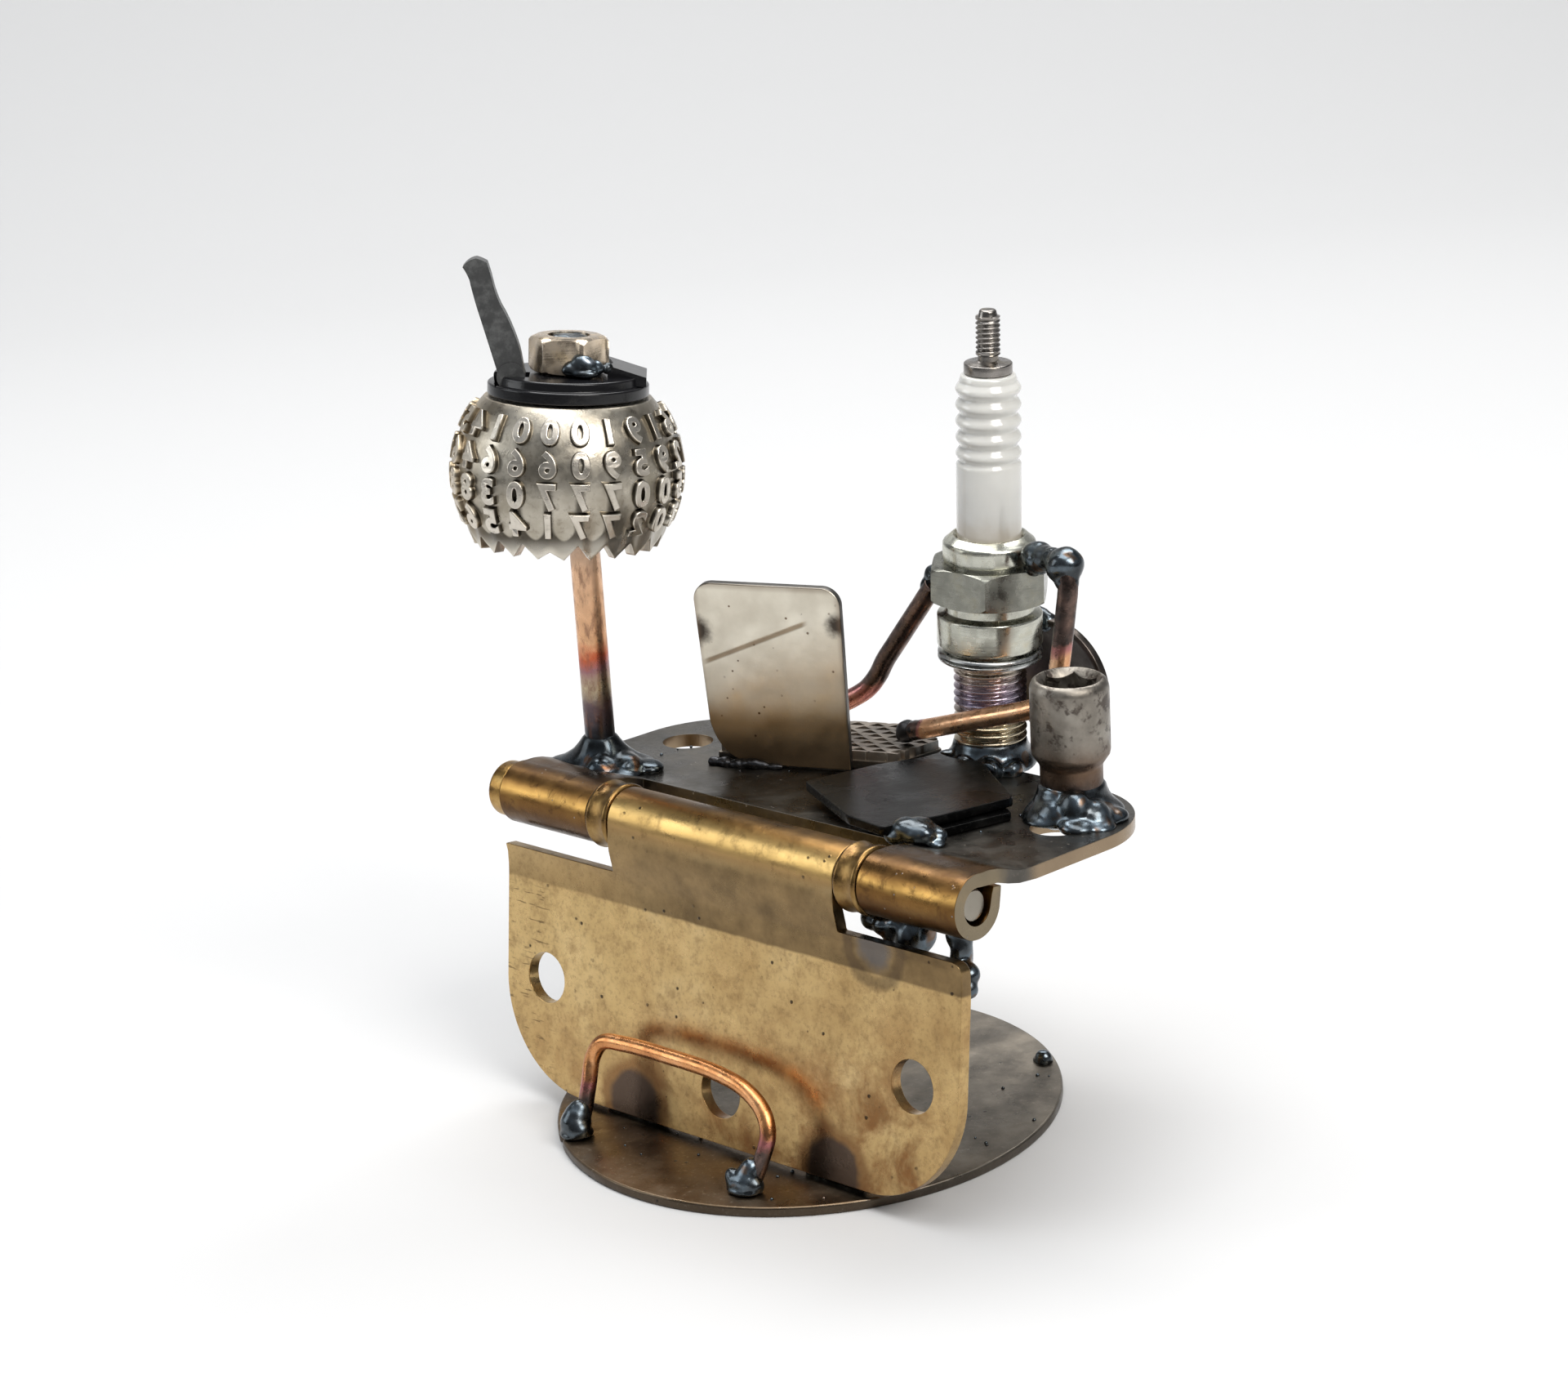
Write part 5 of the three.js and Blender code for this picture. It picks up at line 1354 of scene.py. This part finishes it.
def lever():
    """The release lever: an S-shaped blade with a round boss, on its own body."""
    outline = []
    for a, b, c in LEVER_EDGES:
        for t in np.linspace(0, 1, 7)[:-1]:
            outline.append(bend(np.array(a), np.array(b), np.array(c), t))
    outline.append(LEVER_EDGES[-1][-1])
    x, z = LEVER_PIVOT
    flat = prism(outline, -LEVER_MIDDLE - BLADE_HALF, -LEVER_MIDDLE + BLADE_HALF, (1, 0, 0), (0, 0, 1))
    blade = new_object("lamp_lever_blade", flat, SHADE)
    boss = cylinder((x, LEVER_MIDDLE - 2.0, z), (x, LEVER_MIDDLE + 2.0, z), LEVER_BOSS, 48)
    cut(blade, boss, SHADE, "UNION")
    bore = cylinder((x, LEVER_MIDDLE - 4, z - 1), (x, LEVER_MIDDLE + 4, z - 1), 0.62, 24)
    cut(blade, bore, SHADE)
    bevel(blade, 0.42, 3, 40)
    smooth(blade, 45)
    finished(levelled(blade), LEVER_PLASTIC, ["lamp_lever"], "lever")


NUT_FLATS = 10.0
NUT_BOTTOM = 14.3
NUT_TOP = 19.4
NUT_TURN = -7.5


def rounded_hex(name, corner, low, high, turn, edge, place, segments=96):
    """A hexagonal prism whose corners are turned off to a round chamfer at both ends."""
    body = new_object(name, prism(round_points(corner, 6, turn), low, high), place)
    profile = [
        (0, low), (corner - edge * 1.6, low), (corner - edge * 0.5, low + edge * 0.5),
        (corner + 0.05, low + edge * 1.2), (corner + 0.05, high - edge * 1.2),
        (corner - edge * 0.5, high - edge * 0.5), (corner - edge * 1.6, high), (0, high),
    ]
    cut(body, lathe(profile, segments), place, "INTERSECT")
    return body


def lamp_nut():
    """The nut on the cap and the weld that closes it."""
    nut = rounded_hex(
        "lamp_nut", NUT_FLATS / math.sqrt(3), NUT_BOTTOM - 0.2, NUT_TOP, NUT_TURN, 0.75, SHADE,
    )
    cut(nut, cylinder((0, 0, 13), (0, 0, 21), 3.0, 56), SHADE)
    bevel(nut, 0.42, 3, 28)
    smooth(nut, 45)
    finished(levelled(nut), NUT_STEEL, ["lamp_top_nut"])
    weld("nut_fill_bead", "lamp_nut_fill_weld", [
        ((0.4, 0.2, 18.9), (2.6, 2.6, 0.55)), ((-0.9, -0.6, 19.1), (1.5, 1.3, 0.5)),
        ((1.1, 0.9, 19.0), (1.2, 1.1, 0.55)),
    ], SHADE, 0.14, 0.12, 0.9, 8, material=SILVER_WELD)
    weld("nut_side_bead", "lamp_nut_weld", [
        ((0.6, -5.6, 15.2), (1.5, 1.0, 1.1)), ((2.2, -5.7, 15.8), (1.9, 1.1, 1.5)),
        ((3.7, -5.0, 15.4), (1.4, 1.1, 1.2)), ((2.4, -6.2, 14.7), (2.0, 0.9, 0.6)),
        ((5.6, -3.8, 15.3), (1.0, 1.0, 0.9)), ((1.6, -5.2, 16.6), (1.0, 0.6, 0.8)),
    ], SHADE, 0.14, 0.16, 1.4, 9, 14, material=SILVER_WELD)


# ---- Laptop ----
LID_WIDTH = 22.5
LID_HEIGHT = 28.2
LID_THICKNESS = 1.3
LID_CORNER = 2.8
PLATE_THICKNESS = 1.2
MESH_THICKNESS = 1.3


def lid_frames():
    """The lid's own frame, and the frame of the keyboard at its foot."""
    front = flat_normal("laptop_lid", (0, -1, 0))
    floor = flat_normal("laptop_base", (0, 0, 1))
    across = front.cross(floor).normalized() * -1
    across = across if across.x > 0 else -across
    rise = across.cross(-front).normalized()
    points = points_of("laptop_lid")
    along_x, along_y, along_z = (points @ np.array(axis) for axis in (across, -front, rise))
    middle = across * ((along_x.min() + along_x.max()) / 2)
    middle += -front * ((along_y.min() + along_y.max()) / 2) + rise * along_z.min()
    plate = basis(middle, across, -front, rise)
    base = points_of("laptop_base")
    back = floor.cross(across)
    lowest = float((base @ np.array(floor)).min())
    foot = across * across.dot(middle) + back * back.dot(middle) + floor * lowest
    return plate, basis(foot, across, back, floor)


LID_FRAME, KEYBOARD_FRAME = lid_frames()


def plate(name, outline, bottom, thickness, place, edge=0.18):
    """A flat plate cut to an outline, with softened edges."""
    obj = new_object(name, prism(outline, bottom, bottom + thickness), place)
    bevel(obj, edge, 2, 30)
    smooth(obj, 40)
    return obj


def laptop():
    """The lid, the base with its expanded mesh, and the bead between them."""
    half = LID_WIDTH / 2
    corner = LID_CORNER
    outline = [(half - 0.5, 0), (half, LID_HEIGHT - corner)]
    outline += arc(half - corner, LID_HEIGHT - corner, corner, 0, 90, 14)[1:]
    outline += arc(-half + corner, LID_HEIGHT - corner, corner, 90, 180, 14)
    bent_corner = [(-half + 0.6, 6.5), (-half + 1.6, 1.2), (-half + 6.2, 0)]
    start, middle, end = (np.array(point) for point in bent_corner)
    outline += [bend(start, middle, end, t) for t in np.linspace(0, 1, 12)]
    t = LID_THICKNESS / 2
    lid = new_object("laptop_lid_plate", prism(outline, -t, t, (1, 0, 0), (0, 0, 1)), LID_FRAME)
    bevel(lid, 0.22, 3, 30)
    smooth(lid, 40)
    finished(lid, LID, ["laptop_lid"])

    lid_front = t + 0.5
    base = [(-10.6, lid_front), (17.2, lid_front), (21.2, 9.6), (15.0, 16.6), (-10.6, 16.8)]
    under = plate("keyboard_base_plate", base, -0.1, PLATE_THICKNESS + 0.1, KEYBOARD_FRAME)
    finished(under, STEEL, ["laptop_base"])
    outline = [
        (-10.2, lid_front + 0.4), (17.2, lid_front + 0.4), (18.4, 4.2), (21.0, 9.6), (14.9, 16.2),
        (-10.2, 16.4),
    ]
    low = PLATE_THICKNESS + 0.1
    sheet = new_object("keyboard_expanded_mesh", prism(outline, low, low + MESH_THICKNESS), KEYBOARD_FRAME)
    pitch_x, pitch_y = 3.1, 1.75
    hole_x, hole_y = 1.30, 0.71
    bm = bmesh.new()
    for row in range(-1, 11):
        for column in range(-5, 9):
            x = (column + 0.5 * (row % 2)) * pitch_x
            y = row * pitch_y + 0.9
            diamond = [(x - hole_x, y), (x - 0.1, y - hole_y), (x + 0.1, y - hole_y)]
            diamond += [(x + hole_x, y), (x + 0.1, y + hole_y), (x - 0.1, y + hole_y)]
            bottom = [bm.verts.new((px, py, low - 0.5)) for px, py in diamond]
            top = [bm.verts.new((px, py, low + MESH_THICKNESS + 0.5)) for px, py in diamond]
            grid_faces(bm, [bottom, top], True, False)
            bm.faces.new(bottom)
            bm.faces.new(top)
    cut(sheet, bm, KEYBOARD_FRAME)
    bevel(sheet, 0.16, 2, 30)
    for v in sheet.data.vertices:
        x, y, _ = v.co / MM
        wave = math.cos(2 * math.pi * x / pitch_x) * math.cos(math.pi * (y - 0.9) / pitch_y)
        v.co.z += (0.16 * wave - 0.16) * MM
    smooth(sheet, 40)
    finished(sheet, MESH_STEEL, ["keyboard_mesh"])
    weld("lid_bead", "lid_weld", [
        ((-4.6, -0.9, 0.2), (3.0, 1.0, 0.9)), ((-8.6, -0.9, 0.2), (1.4, 1.0, 0.9)),
        ((-6.6, -0.9, 0.1), (1.9, 1.0, 0.8)), ((-10.4, -0.6, 0.1), (1.2, 0.9, 0.8)),
        ((-1.2, -0.9, 0.1), (1.6, 0.7, 0.5)),
    ], KEYBOARD_FRAME, 0.14, 0.2, 1.2, 12, material=BURNT_WELD)


# ---- Plates on the desk ----
LOWER_PAD = [
    (11.3, 14.4), (23.3, 10.4), (26.5, 13.8), (29.1, 24.8), (19.9, 31.0), (12.9, 35.4), (8.3, 29.4),
]
UPPER_PAD = [
    (-1.3, 15.2), (14.6, 6.9), (22.3, 5.7), (25.4, 14.4), (28.0, 26.6), (19.6, 32.4), (11.6, 38.0),
    (5.4, 42.2), (4.6, 33.6), (1.6, 27.2),
]
LOWER_PAD_THICKNESS = 1.0
PLUG_BASE = (8.6, 43.9)


def rounded_outline(points, radius):
    """An outline whose corners are rounded by a radius."""
    rounded = []
    count = len(points)
    for i in range(count):
        before, here, after = (Vector(points[(i + k) % count]) for k in (-1, 0, 1))
        to_before, to_after = (before - here).normalized(), (after - here).normalized()
        start, end = here + to_before * radius, here + to_after * radius
        for t in np.linspace(0, 1, 5):
            rounded.append(bend(start, here, end, t))
    return rounded


def desk_pads():
    """The two black plates on the desk and the weld beside them."""
    lower = plate(
        "black_plate_lower", rounded_outline(LOWER_PAD, 0.5), 0.05, LOWER_PAD_THICKNESS + 0.2,
        DESK_TOP, 0.22,
    )
    finished(lower, BLACK, ["desk_pad_lower"])
    bottom = GAP + LOWER_PAD_THICKNESS + GAP
    upper = new_object(
        "black_plate_upper",
        prism(rounded_outline(UPPER_PAD, 0.8), bottom - 0.2, bottom + PLATE_THICKNESS), DESK_TOP,
    )
    room = [(-10.9, -1), (17.5, -1), (18.9, 4.0), (21.8, 9.6), (15.3, 17.0), (-10.9, 17.2)]
    cut(upper, prism(room, -1, 7), KEYBOARD_FRAME)
    cut(upper, cylinder((*PLUG_BASE, -5), (*PLUG_BASE, 9), 7.9, 64), DESK_TOP)
    bevel(upper, 0.25, 2, 30)
    smooth(upper, 40)
    finished(upper, BLACK, ["desk_pad_upper"])
    weld("pad_bead", "desk_pad_weld", [
        ((25.6, 9.2, 1.6), (3.0, 2.3, 1.9)), ((24.2, 8.6, 2.2), (2.4, 2.1, 1.5)),
        ((27.2, 10.9, 1.1), (2.1, 1.8, 1.4)), ((23.0, 7.8, 1.2), (2.0, 1.6, 1.3)),
        ((25.2, 10.4, 2.4), (2.0, 1.6, 1.2)), ((28.2, 9.8, 0.4), (1.6, 1.3, 0.7)),
    ], DESK_TOP, 0.18, 0.22, 2.2, 13, 18, material=BRONZE_WELD)


# ---- Mug ----
MUG_TOP = 20.0
MUG_RADIUS = 5.55
MUG_FOOT = 4.4
MUG_MOUTH = 4.1
MUG_DEPTH = 11


def mug():
    """The hexagon-mouthed socket and its weld."""
    outside = [
        (0, 0.3), (MUG_FOOT, 0.3), (MUG_FOOT, 7.2), (MUG_FOOT + 0.12, 7.7), (MUG_RADIUS - 0.5, 8.5),
        (MUG_RADIUS - 0.1, 9.1), (MUG_RADIUS, 9.7), (MUG_RADIUS, MUG_TOP - 1.5),
        (MUG_RADIUS - 0.12, MUG_TOP - 0.9), (MUG_RADIUS - 0.4, MUG_TOP - 0.35),
        (MUG_RADIUS - 0.85, MUG_TOP - 0.02), (MUG_RADIUS - 1.2, MUG_TOP), (0, MUG_TOP),
    ]
    body = new_object("socket_mug", lathe(outside, 96), MUG)
    cut(body, prism(round_points(MUG_MOUTH, 6), MUG_TOP - MUG_DEPTH, MUG_TOP + 1), MUG)
    lead = [(0, MUG_TOP - 1.3), (3.4, MUG_TOP - 1.3), (4.75, MUG_TOP + 0.2), (0, MUG_TOP + 0.2)]
    cut(body, lathe(lead, 72), MUG)
    bevel(body, 0.14, 2, 34)
    smooth(body, 40)
    finished(body, SOCKET, ["mug_socket"])
    collar("mug_bead", "mug_weld", MUG, MUG_FOOT, 7.0, 5.0, 17, WELD, [
        ((5.2, -2.0, 1.2), (2.8, 2.8, 2.6)), ((3.6, -3.8, 2.2), (2.6, 2.2, 3.2)),
        ((6.4, 1.0, 0.6), (2.2, 2.6, 1.4)), ((0.6, -4.8, 1.4), (2.6, 1.8, 2.2)),
        ((5.0, -5.2, 0.6), (2.8, 2.4, 1.3)), ((7.4, -2.6, 0.4), (2.0, 2.4, 1.0)),
    ])


# ---- Spark plug ----
THREAD_RADIUS = 5.3
THREAD_DEPTH = 0.55
THREAD_PITCH = 1.14
SEAT = 18.2
HEX_LOW = 25.3
HEX_HIGH = 30.9
HEX_CORNER = 9.3
HEX_TURN = 7
SHELL_RADIUS = 7.6
NECK_RADIUS = 6.5
COLLAR_RADIUS = 6.7
COLLAR_TOP = 34.9
INSULATOR_RADIUS = 4.65
RIB_HEIGHTS = [46.8, 49.2, 51.6, 53.9, 56.2]
STUD_RADIUS = 1.75
STUD_PITCH = 0.7


def plug():
    """The spark plug: shell, insulator, stud, washer and the weld round its foot."""
    rows, helix = threaded(1.0, 16.0, THREAD_RADIUS, THREAD_DEPTH, THREAD_PITCH)
    thread = [
        (3.9, 0.6), (THREAD_RADIUS - 0.5, 0.6), *rows, (THREAD_RADIUS - 0.5, 16.4),
        (THREAD_RADIUS - 0.5, 17.9),
              (THREAD_RADIUS, 18.3), (3.9, 18.3)]
    neck = new_object("plug_thread", lathe(thread, 96, helix), PLUG)
    smooth(neck, 60)
    finished(neck, THREAD, [])
    shell = [
        (4.0, SEAT), (SHELL_RADIUS - 0.9, SEAT),
        *arc(SHELL_RADIUS - 0.5, SEAT + 0.6, 0.5, -80, 0, 4),
        *arc(SHELL_RADIUS - 0.35, 22.9, 0.35, 0, 60, 4), (SHELL_RADIUS - 0.55, 23.35),
        (NECK_RADIUS + 0.15, 23.5), (NECK_RADIUS, 23.7), (NECK_RADIUS, HEX_LOW + 0.1),
        (NECK_RADIUS, HEX_HIGH - 0.2), *arc(COLLAR_RADIUS - 0.4, HEX_HIGH + 0.6, 0.4, -60, 0, 3),
        (COLLAR_RADIUS, COLLAR_TOP - 1.7),
        *arc(COLLAR_RADIUS - 0.8, COLLAR_TOP - 1.5, 0.8, 10, 70, 5),
        (COLLAR_RADIUS - 1.2, COLLAR_TOP - 0.1), (COLLAR_RADIUS - 1.5, COLLAR_TOP - 0.05),
        (INSULATOR_RADIUS + 0.1, COLLAR_TOP - 0.5), (INSULATOR_RADIUS + 0.1, COLLAR_TOP - 3.0),
        (4.0, COLLAR_TOP - 4.0),
    ]
    body = new_object("plug_shell_turned", lathe(shell, 120), PLUG)
    smooth(body, 35)
    finished(body, ZINC, ["plug_shell"])
    hexagon = rounded_hex("plug_hexagon", HEX_CORNER, HEX_LOW, HEX_HIGH, HEX_TURN, 0.75, PLUG, 128)
    bore = cylinder((0, 0, HEX_LOW - 2), (0, 0, HEX_HIGH + 2), NECK_RADIUS - 0.6, 96)
    cut(hexagon, bore, PLUG)
    bevel(hexagon, 0.3, 3, 24)
    smooth(hexagon, 45)
    finished(hexagon, HEX_ZINC, [])

    insulator = [(1.7, 32.5), (INSULATOR_RADIUS, 32.5), (INSULATOR_RADIUS, RIB_HEIGHTS[0] - 2.2)]
    low, high = RIB_HEIGHTS[0] - 1.6, RIB_HEIGHTS[-1] + 1.3
    steps = 90
    for i in range(steps + 1):
        z = low + (high - low) * i / steps
        phase = math.cos(2 * math.pi * (z - RIB_HEIGHTS[0]) / ((RIB_HEIGHTS[-1] - RIB_HEIGHTS[0]) / 4))
        wave = 0.5 + 0.5 * phase
        fade = min(1.0, (z - low) / 0.8) if z < RIB_HEIGHTS[0] else 1.0
        valley = 4.08
        radius = valley + (4.68 - valley) * wave ** 0.75
        insulator.append((INSULATOR_RADIUS * (1 - fade) + radius * fade, z))
    insulator += [*arc(3.45, 57.75, 0.55, 0, 80, 6), (2.6, 58.35), (1.7, 58.35)]
    ceramic = new_object("plug_ceramic", lathe(insulator, 96), PLUG)
    smooth(ceramic, 60)
    finished(
        ceramic, CERAMIC,
        ["plug_insulator", "plug_resistor", "plug_center_electrode"],
    )

    rows, helix = threaded(61.1, 66.5, STUD_RADIUS, 0.32, STUD_PITCH, rows_per_turn=12)
    stud = [
        (0, 57), (1.6, 57), (1.6, 58.3), (3.2, 58.3), *arc(3.25, 58.6, 0.2, -80, 0, 3),
        *arc(3.25, 59.7, 0.2, 0, 80, 3), (1.9, 59.95), (1.5, 60.2), (1.45, 60.9), *rows,
        (1.4, 66.6), (1.3, 66.9), *arc(0.85, 67.1, 0.4, 0, 90, 4), (0, 67.5),
    ]
    terminal = new_object("plug_stud", lathe(stud, 64, helix), PLUG)
    smooth(terminal, 50)
    finished(terminal, STUD_STEEL, ["plug_terminal_stud"])

    gasket_profile = [
        (5.75, 16.5), (6.2, 16.15), (7.1, 16.2), (7.5, 16.45), (7.55, 16.75), (7.3, 16.95),
        (6.7, 17.0), (7.3, 17.1), (7.55, 17.3), (7.5, 17.6), (7.1, 17.8), (6.2, 17.85),
        (5.75, 17.5),
    ]
    washer = new_object("plug_washer", lathe(gasket_profile, 96), PLUG)
    smooth(washer, 60)
    finished(washer, WASHER_STEEL, ["plug_gasket"], "gasket")
    collar("plug_bead", "plug_weld", PLUG, THREAD_RADIUS - 0.2, 7.5, 4.4, 23, WELD, [
        ((4.2, -5.2, 1.3), (2.2, 1.5, 1.8)), ((0.6, -6.4, 1.0), (2.2, 1.4, 1.6)),
        ((-3.6, -5.4, 1.1), (2.0, 1.5, 1.6)), ((6.4, -2.4, 1.0), (1.4, 2.0, 1.5)),
    ])


# ---- Arms ----
ROD_RADIUS = 1.45
RIGHT_ARM = [
    (27.4, 31.4, 77.9), (28.8, 30.5, 77.5), (29.5, 30.0, 75.3), (29.4, 29.2, 71.2),
    (29.2, 28.5, 67.6), (28.9, 27.8, 63.9), (28.4, 27.2, 60.4), (26.9, 26.7, 58.3),
    (23.8, 26.3, 56.9), (15.3, 25.6, 54.3), (6.7, 25.6, 51.5), (1.6, 25.8, 49.9),
]
LEFT_ARM = [
    (5.2, 29.0, 72.0), (0.6, 28.6, 66.1), (-2.7, 28.1, 61.7), (-4.5, 27.7, 59.2),
    (-5.9, 27.3, 56.7), (-7.9, 26.9, 54.4), (-11.0, 26.2, 52.4), (-14.6, 25.2, 50.6),
]


def arms():
    """The two bent rods and the welds at shoulders and hand."""
    right = new_object("right_arm_rod", rod(RIGHT_ARM, ROD_RADIUS, 32, 150))
    right.data.shade_smooth()

    def right_heat(look):
        shoulder = look.span(look.axis("Z"), 63.0, 69.0, 0.0, 0.75)
        hand = look.span(look.axis("X"), 5.5, 2.2, 0.0, 1.0)
        return look.math("MAXIMUM", shoulder, hand)

    finished(right, copper_look("right_arm_copper", right_heat, BRIGHT_COPPER), ["arm_right"])
    left = new_object("left_arm_rod", rod(LEFT_ARM, ROD_RADIUS, 32, 110))
    left.data.shade_smooth()
    coat = copper_look(
        "left_arm_copper", lambda look: look.span(look.axis("Z"), 50.0, 60.0, 0.3, 0.7),
        BRIGHT_COPPER,
    )
    finished(left, coat, ["arm_left"])
    weld("right_shoulder_bead", "shoulder_weld_right", [
        ((21.6, 33.2, 77.2), (2.6, 2.3, 2.5)), ((23.6, 32.4, 77.6), (2.2, 1.8, 1.9)),
        ((25.2, 32.0, 77.8), (1.7, 1.6, 1.7)), ((28.4, 30.9, 77.7), (2.8, 2.6, 2.7)),
        ((26.6, 31.6, 77.6), (2.0, 1.9, 1.8)), ((29.2, 30.2, 75.6), (1.7, 1.7, 1.6)),
        ((20.4, 33.4, 75.6), (1.5, 1.4, 1.5)),
    ], WORLD, 0.2, 0.25, 2.4, 15, 16)
    weld("left_shoulder_bead", "shoulder_weld_left", [
        ((4.8, 30.2, 72.8), (2.0, 2.0, 1.9)), ((5.6, 31.2, 74.2), (1.6, 1.6, 1.6)),
        ((4.0, 29.6, 71.4), (1.7, 1.7, 1.5)),
    ], WORLD, 0.18, 0.14, 1.3, 16)
    weld("right_hand_bead", "hand_weld_right", [
        ((0.6, 25.9, 49.7), (1.75, 1.75, 1.65)), ((2.6, 25.8, 50.2), (1.6, 1.55, 1.5)),
        ((0.2, 26.0, 48.9), (1.6, 1.6, 1.1)),
    ], WORLD, 0.16, 0.1, 1.2, 18, material=BURNT_WELD)


def chair():
    """The disc behind the plug and its weld."""
    low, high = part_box("chair_back_disc")
    middle = (low + high) / 2
    turn = Matrix.Translation(middle) @ Matrix.Rotation(math.radians(4), 4, "X") @ Matrix.Rotation(
        math.pi / 2, 4, "X",
    )
    radius, thick = (high.x - low.x) / 2 / MM, 1.4
    profile = [
        (0, -thick / 2), (radius - 0.9, -thick / 2),
        *arc(radius - 0.3, -thick / 2 + 0.3, 0.3, -90, 0, 4),
        *arc(radius - 0.3, thick / 2 - 0.3, 0.3, 0, 90, 4), (radius - 0.9, thick / 2),
        (radius - 1.2, thick / 2 - 0.25), (0, thick / 2 - 0.25),
    ]
    disc = new_object("chair_back_plate", lathe(profile, 120), turn)
    smooth(disc, 40)
    finished(disc, CHAIR_STEEL, ["chair_back_disc"])
    weld("chair_bead", "chair_weld", [
        ((12.6, 41.9, 64.5), (3.0, 1.7, 1.7)), ((14.6, 42.0, 64.0), (1.8, 1.5, 1.6)),
        ((10.8, 41.6, 64.4), (1.8, 1.6, 1.5)),
    ], WORLD, 0.2, 0.16, 1.3, 19)


# ---- Camera, floor and lights ----
CAMERA_PLACE = (0.38356, -0.37814, 0.24428)
CAMERA_LENS = 93.05
CAMERA_YAW = 45.255
CAMERA_DOWN = 18.507
CAMERA_ROLL = -4.965
FLOOR_NEAR = -2.2
FLOOR_FAR = 0.55
SWEEP_RADIUS = 0.5
WALL_TOP = 2.6
FLOOR_HALF = 3.0
PAPER_GREY = 0.56
LAMP_AIM = Vector((0, 0, 0.05))
# Name, place and size in metres, power in watts, colour
LIGHTS = [
    ("key_softbox", (0.75, -0.1, 0.75), (0.5, 0.5), 7.5, (1.0, 0.97, 0.93)),
    ("top_softbox", (0.0, -0.1, 0.95), (0.8, 0.5), 5.0, (1.0, 1.0, 1.0)),
    ("left_fill", (-0.75, -0.7, 0.45), (0.6, 0.6), 2.6, (0.95, 0.98, 1.0)),
    ("wall_wash", (-0.3, 0.35, 0.8), (0.9, 0.3), 7.0, (1.0, 1.0, 1.0)),
]


def camera():
    """The camera at the chosen viewing angle."""
    lens = bpy.data.cameras.new("camera")
    lens.lens = CAMERA_LENS
    lens.sensor_width = 36.0
    lens.clip_start = 0.01
    eye = bpy.data.objects.new("camera", lens)
    bpy.context.scene.collection.objects.link(eye)
    yaw = Matrix.Rotation(math.radians(CAMERA_YAW), 4, "Z")
    pitch = Matrix.Rotation(math.radians(90 - CAMERA_DOWN), 4, "X")
    roll = Matrix.Rotation(math.radians(CAMERA_ROLL), 4, "Z")
    eye.matrix_world = Matrix.Translation(CAMERA_PLACE) @ yaw @ pitch @ roll
    bpy.context.scene.camera = eye


def studio():
    """A pale floor that sweeps up into a pale wall, and soft lights."""
    bm = bmesh.new()
    depth = [(FLOOR_NEAR, 0.0), (FLOOR_FAR, 0.0)]
    for angle in np.radians(np.linspace(6, 84, 14)):
        depth.append((FLOOR_FAR + SWEEP_RADIUS * math.sin(angle), SWEEP_RADIUS * (1 - math.cos(angle))))
    depth += [(FLOOR_FAR + SWEEP_RADIUS, SWEEP_RADIUS), (FLOOR_FAR + SWEEP_RADIUS, WALL_TOP)]
    rings = [[bm.verts.new((x, y, z)) for x in (-FLOOR_HALF, FLOOR_HALF)] for y, z in depth]
    grid_faces(bm, rings, False, False)
    mesh = bpy.data.meshes.new("studio_sweep")
    bm.to_mesh(mesh)
    bm.free()
    sweep = bpy.data.objects.new("studio_sweep", mesh)
    bpy.context.scene.collection.objects.link(sweep)
    sweep.matrix_world = Matrix.Rotation(math.radians(CAMERA_YAW), 4, "Z")
    mesh.shade_smooth()
    paper = bpy.data.materials.new("studio_paper")
    paper.use_nodes = True
    shader = paper.node_tree.nodes["Principled BSDF"]
    shader.inputs["Base Color"].default_value = (PAPER_GREY, PAPER_GREY, PAPER_GREY, 1)
    shader.inputs["Roughness"].default_value = 0.75
    mesh.materials.append(paper)

    world = bpy.data.worlds.new("studio_air")
    world.use_nodes = True
    tree = world.node_tree
    air = tree.nodes["Background"]
    air.inputs["Strength"].default_value = 1.0
    split = tree.nodes.new("ShaderNodeSeparateXYZ")
    tree.links.new(tree.nodes.new("ShaderNodeTexCoord").outputs["Generated"], split.inputs[0])
    sky = tree.nodes.new("ShaderNodeValToRGB")
    tree.links.new(split.outputs["Z"], sky.inputs["Fac"])
    sky.color_ramp.elements[0].color = (0.07, 0.065, 0.06, 1)
    sky.color_ramp.elements[1].color = (0.34, 0.36, 0.39, 1)
    sky.color_ramp.elements[1].position = 0.8
    tree.links.new(sky.outputs["Color"], air.inputs["Color"])
    bpy.context.scene.world = world
    for name, place, size, power, colour in LIGHTS:
        lamp = bpy.data.lights.new(name, "AREA")
        lamp.shape = "RECTANGLE"
        lamp.size, lamp.size_y = size
        lamp.energy = power
        lamp.color = colour
        light = bpy.data.objects.new(name, lamp)
        bpy.context.scene.collection.objects.link(light)
        light.location = place
        light.rotation_euler = (LAMP_AIM - Vector(place)).to_track_quat("-Z", "Y").to_euler()


bpy.context.scene.view_settings.view_transform = "Standard"
camera()
studio()
base_disc()
spatter()
hinge()
hinge_welds()
foot_rail()
lamp_post()
shade()
shade_cap()
lever()
lamp_nut()
laptop()
desk_pads()
mug()
plug()
arms()
chair()
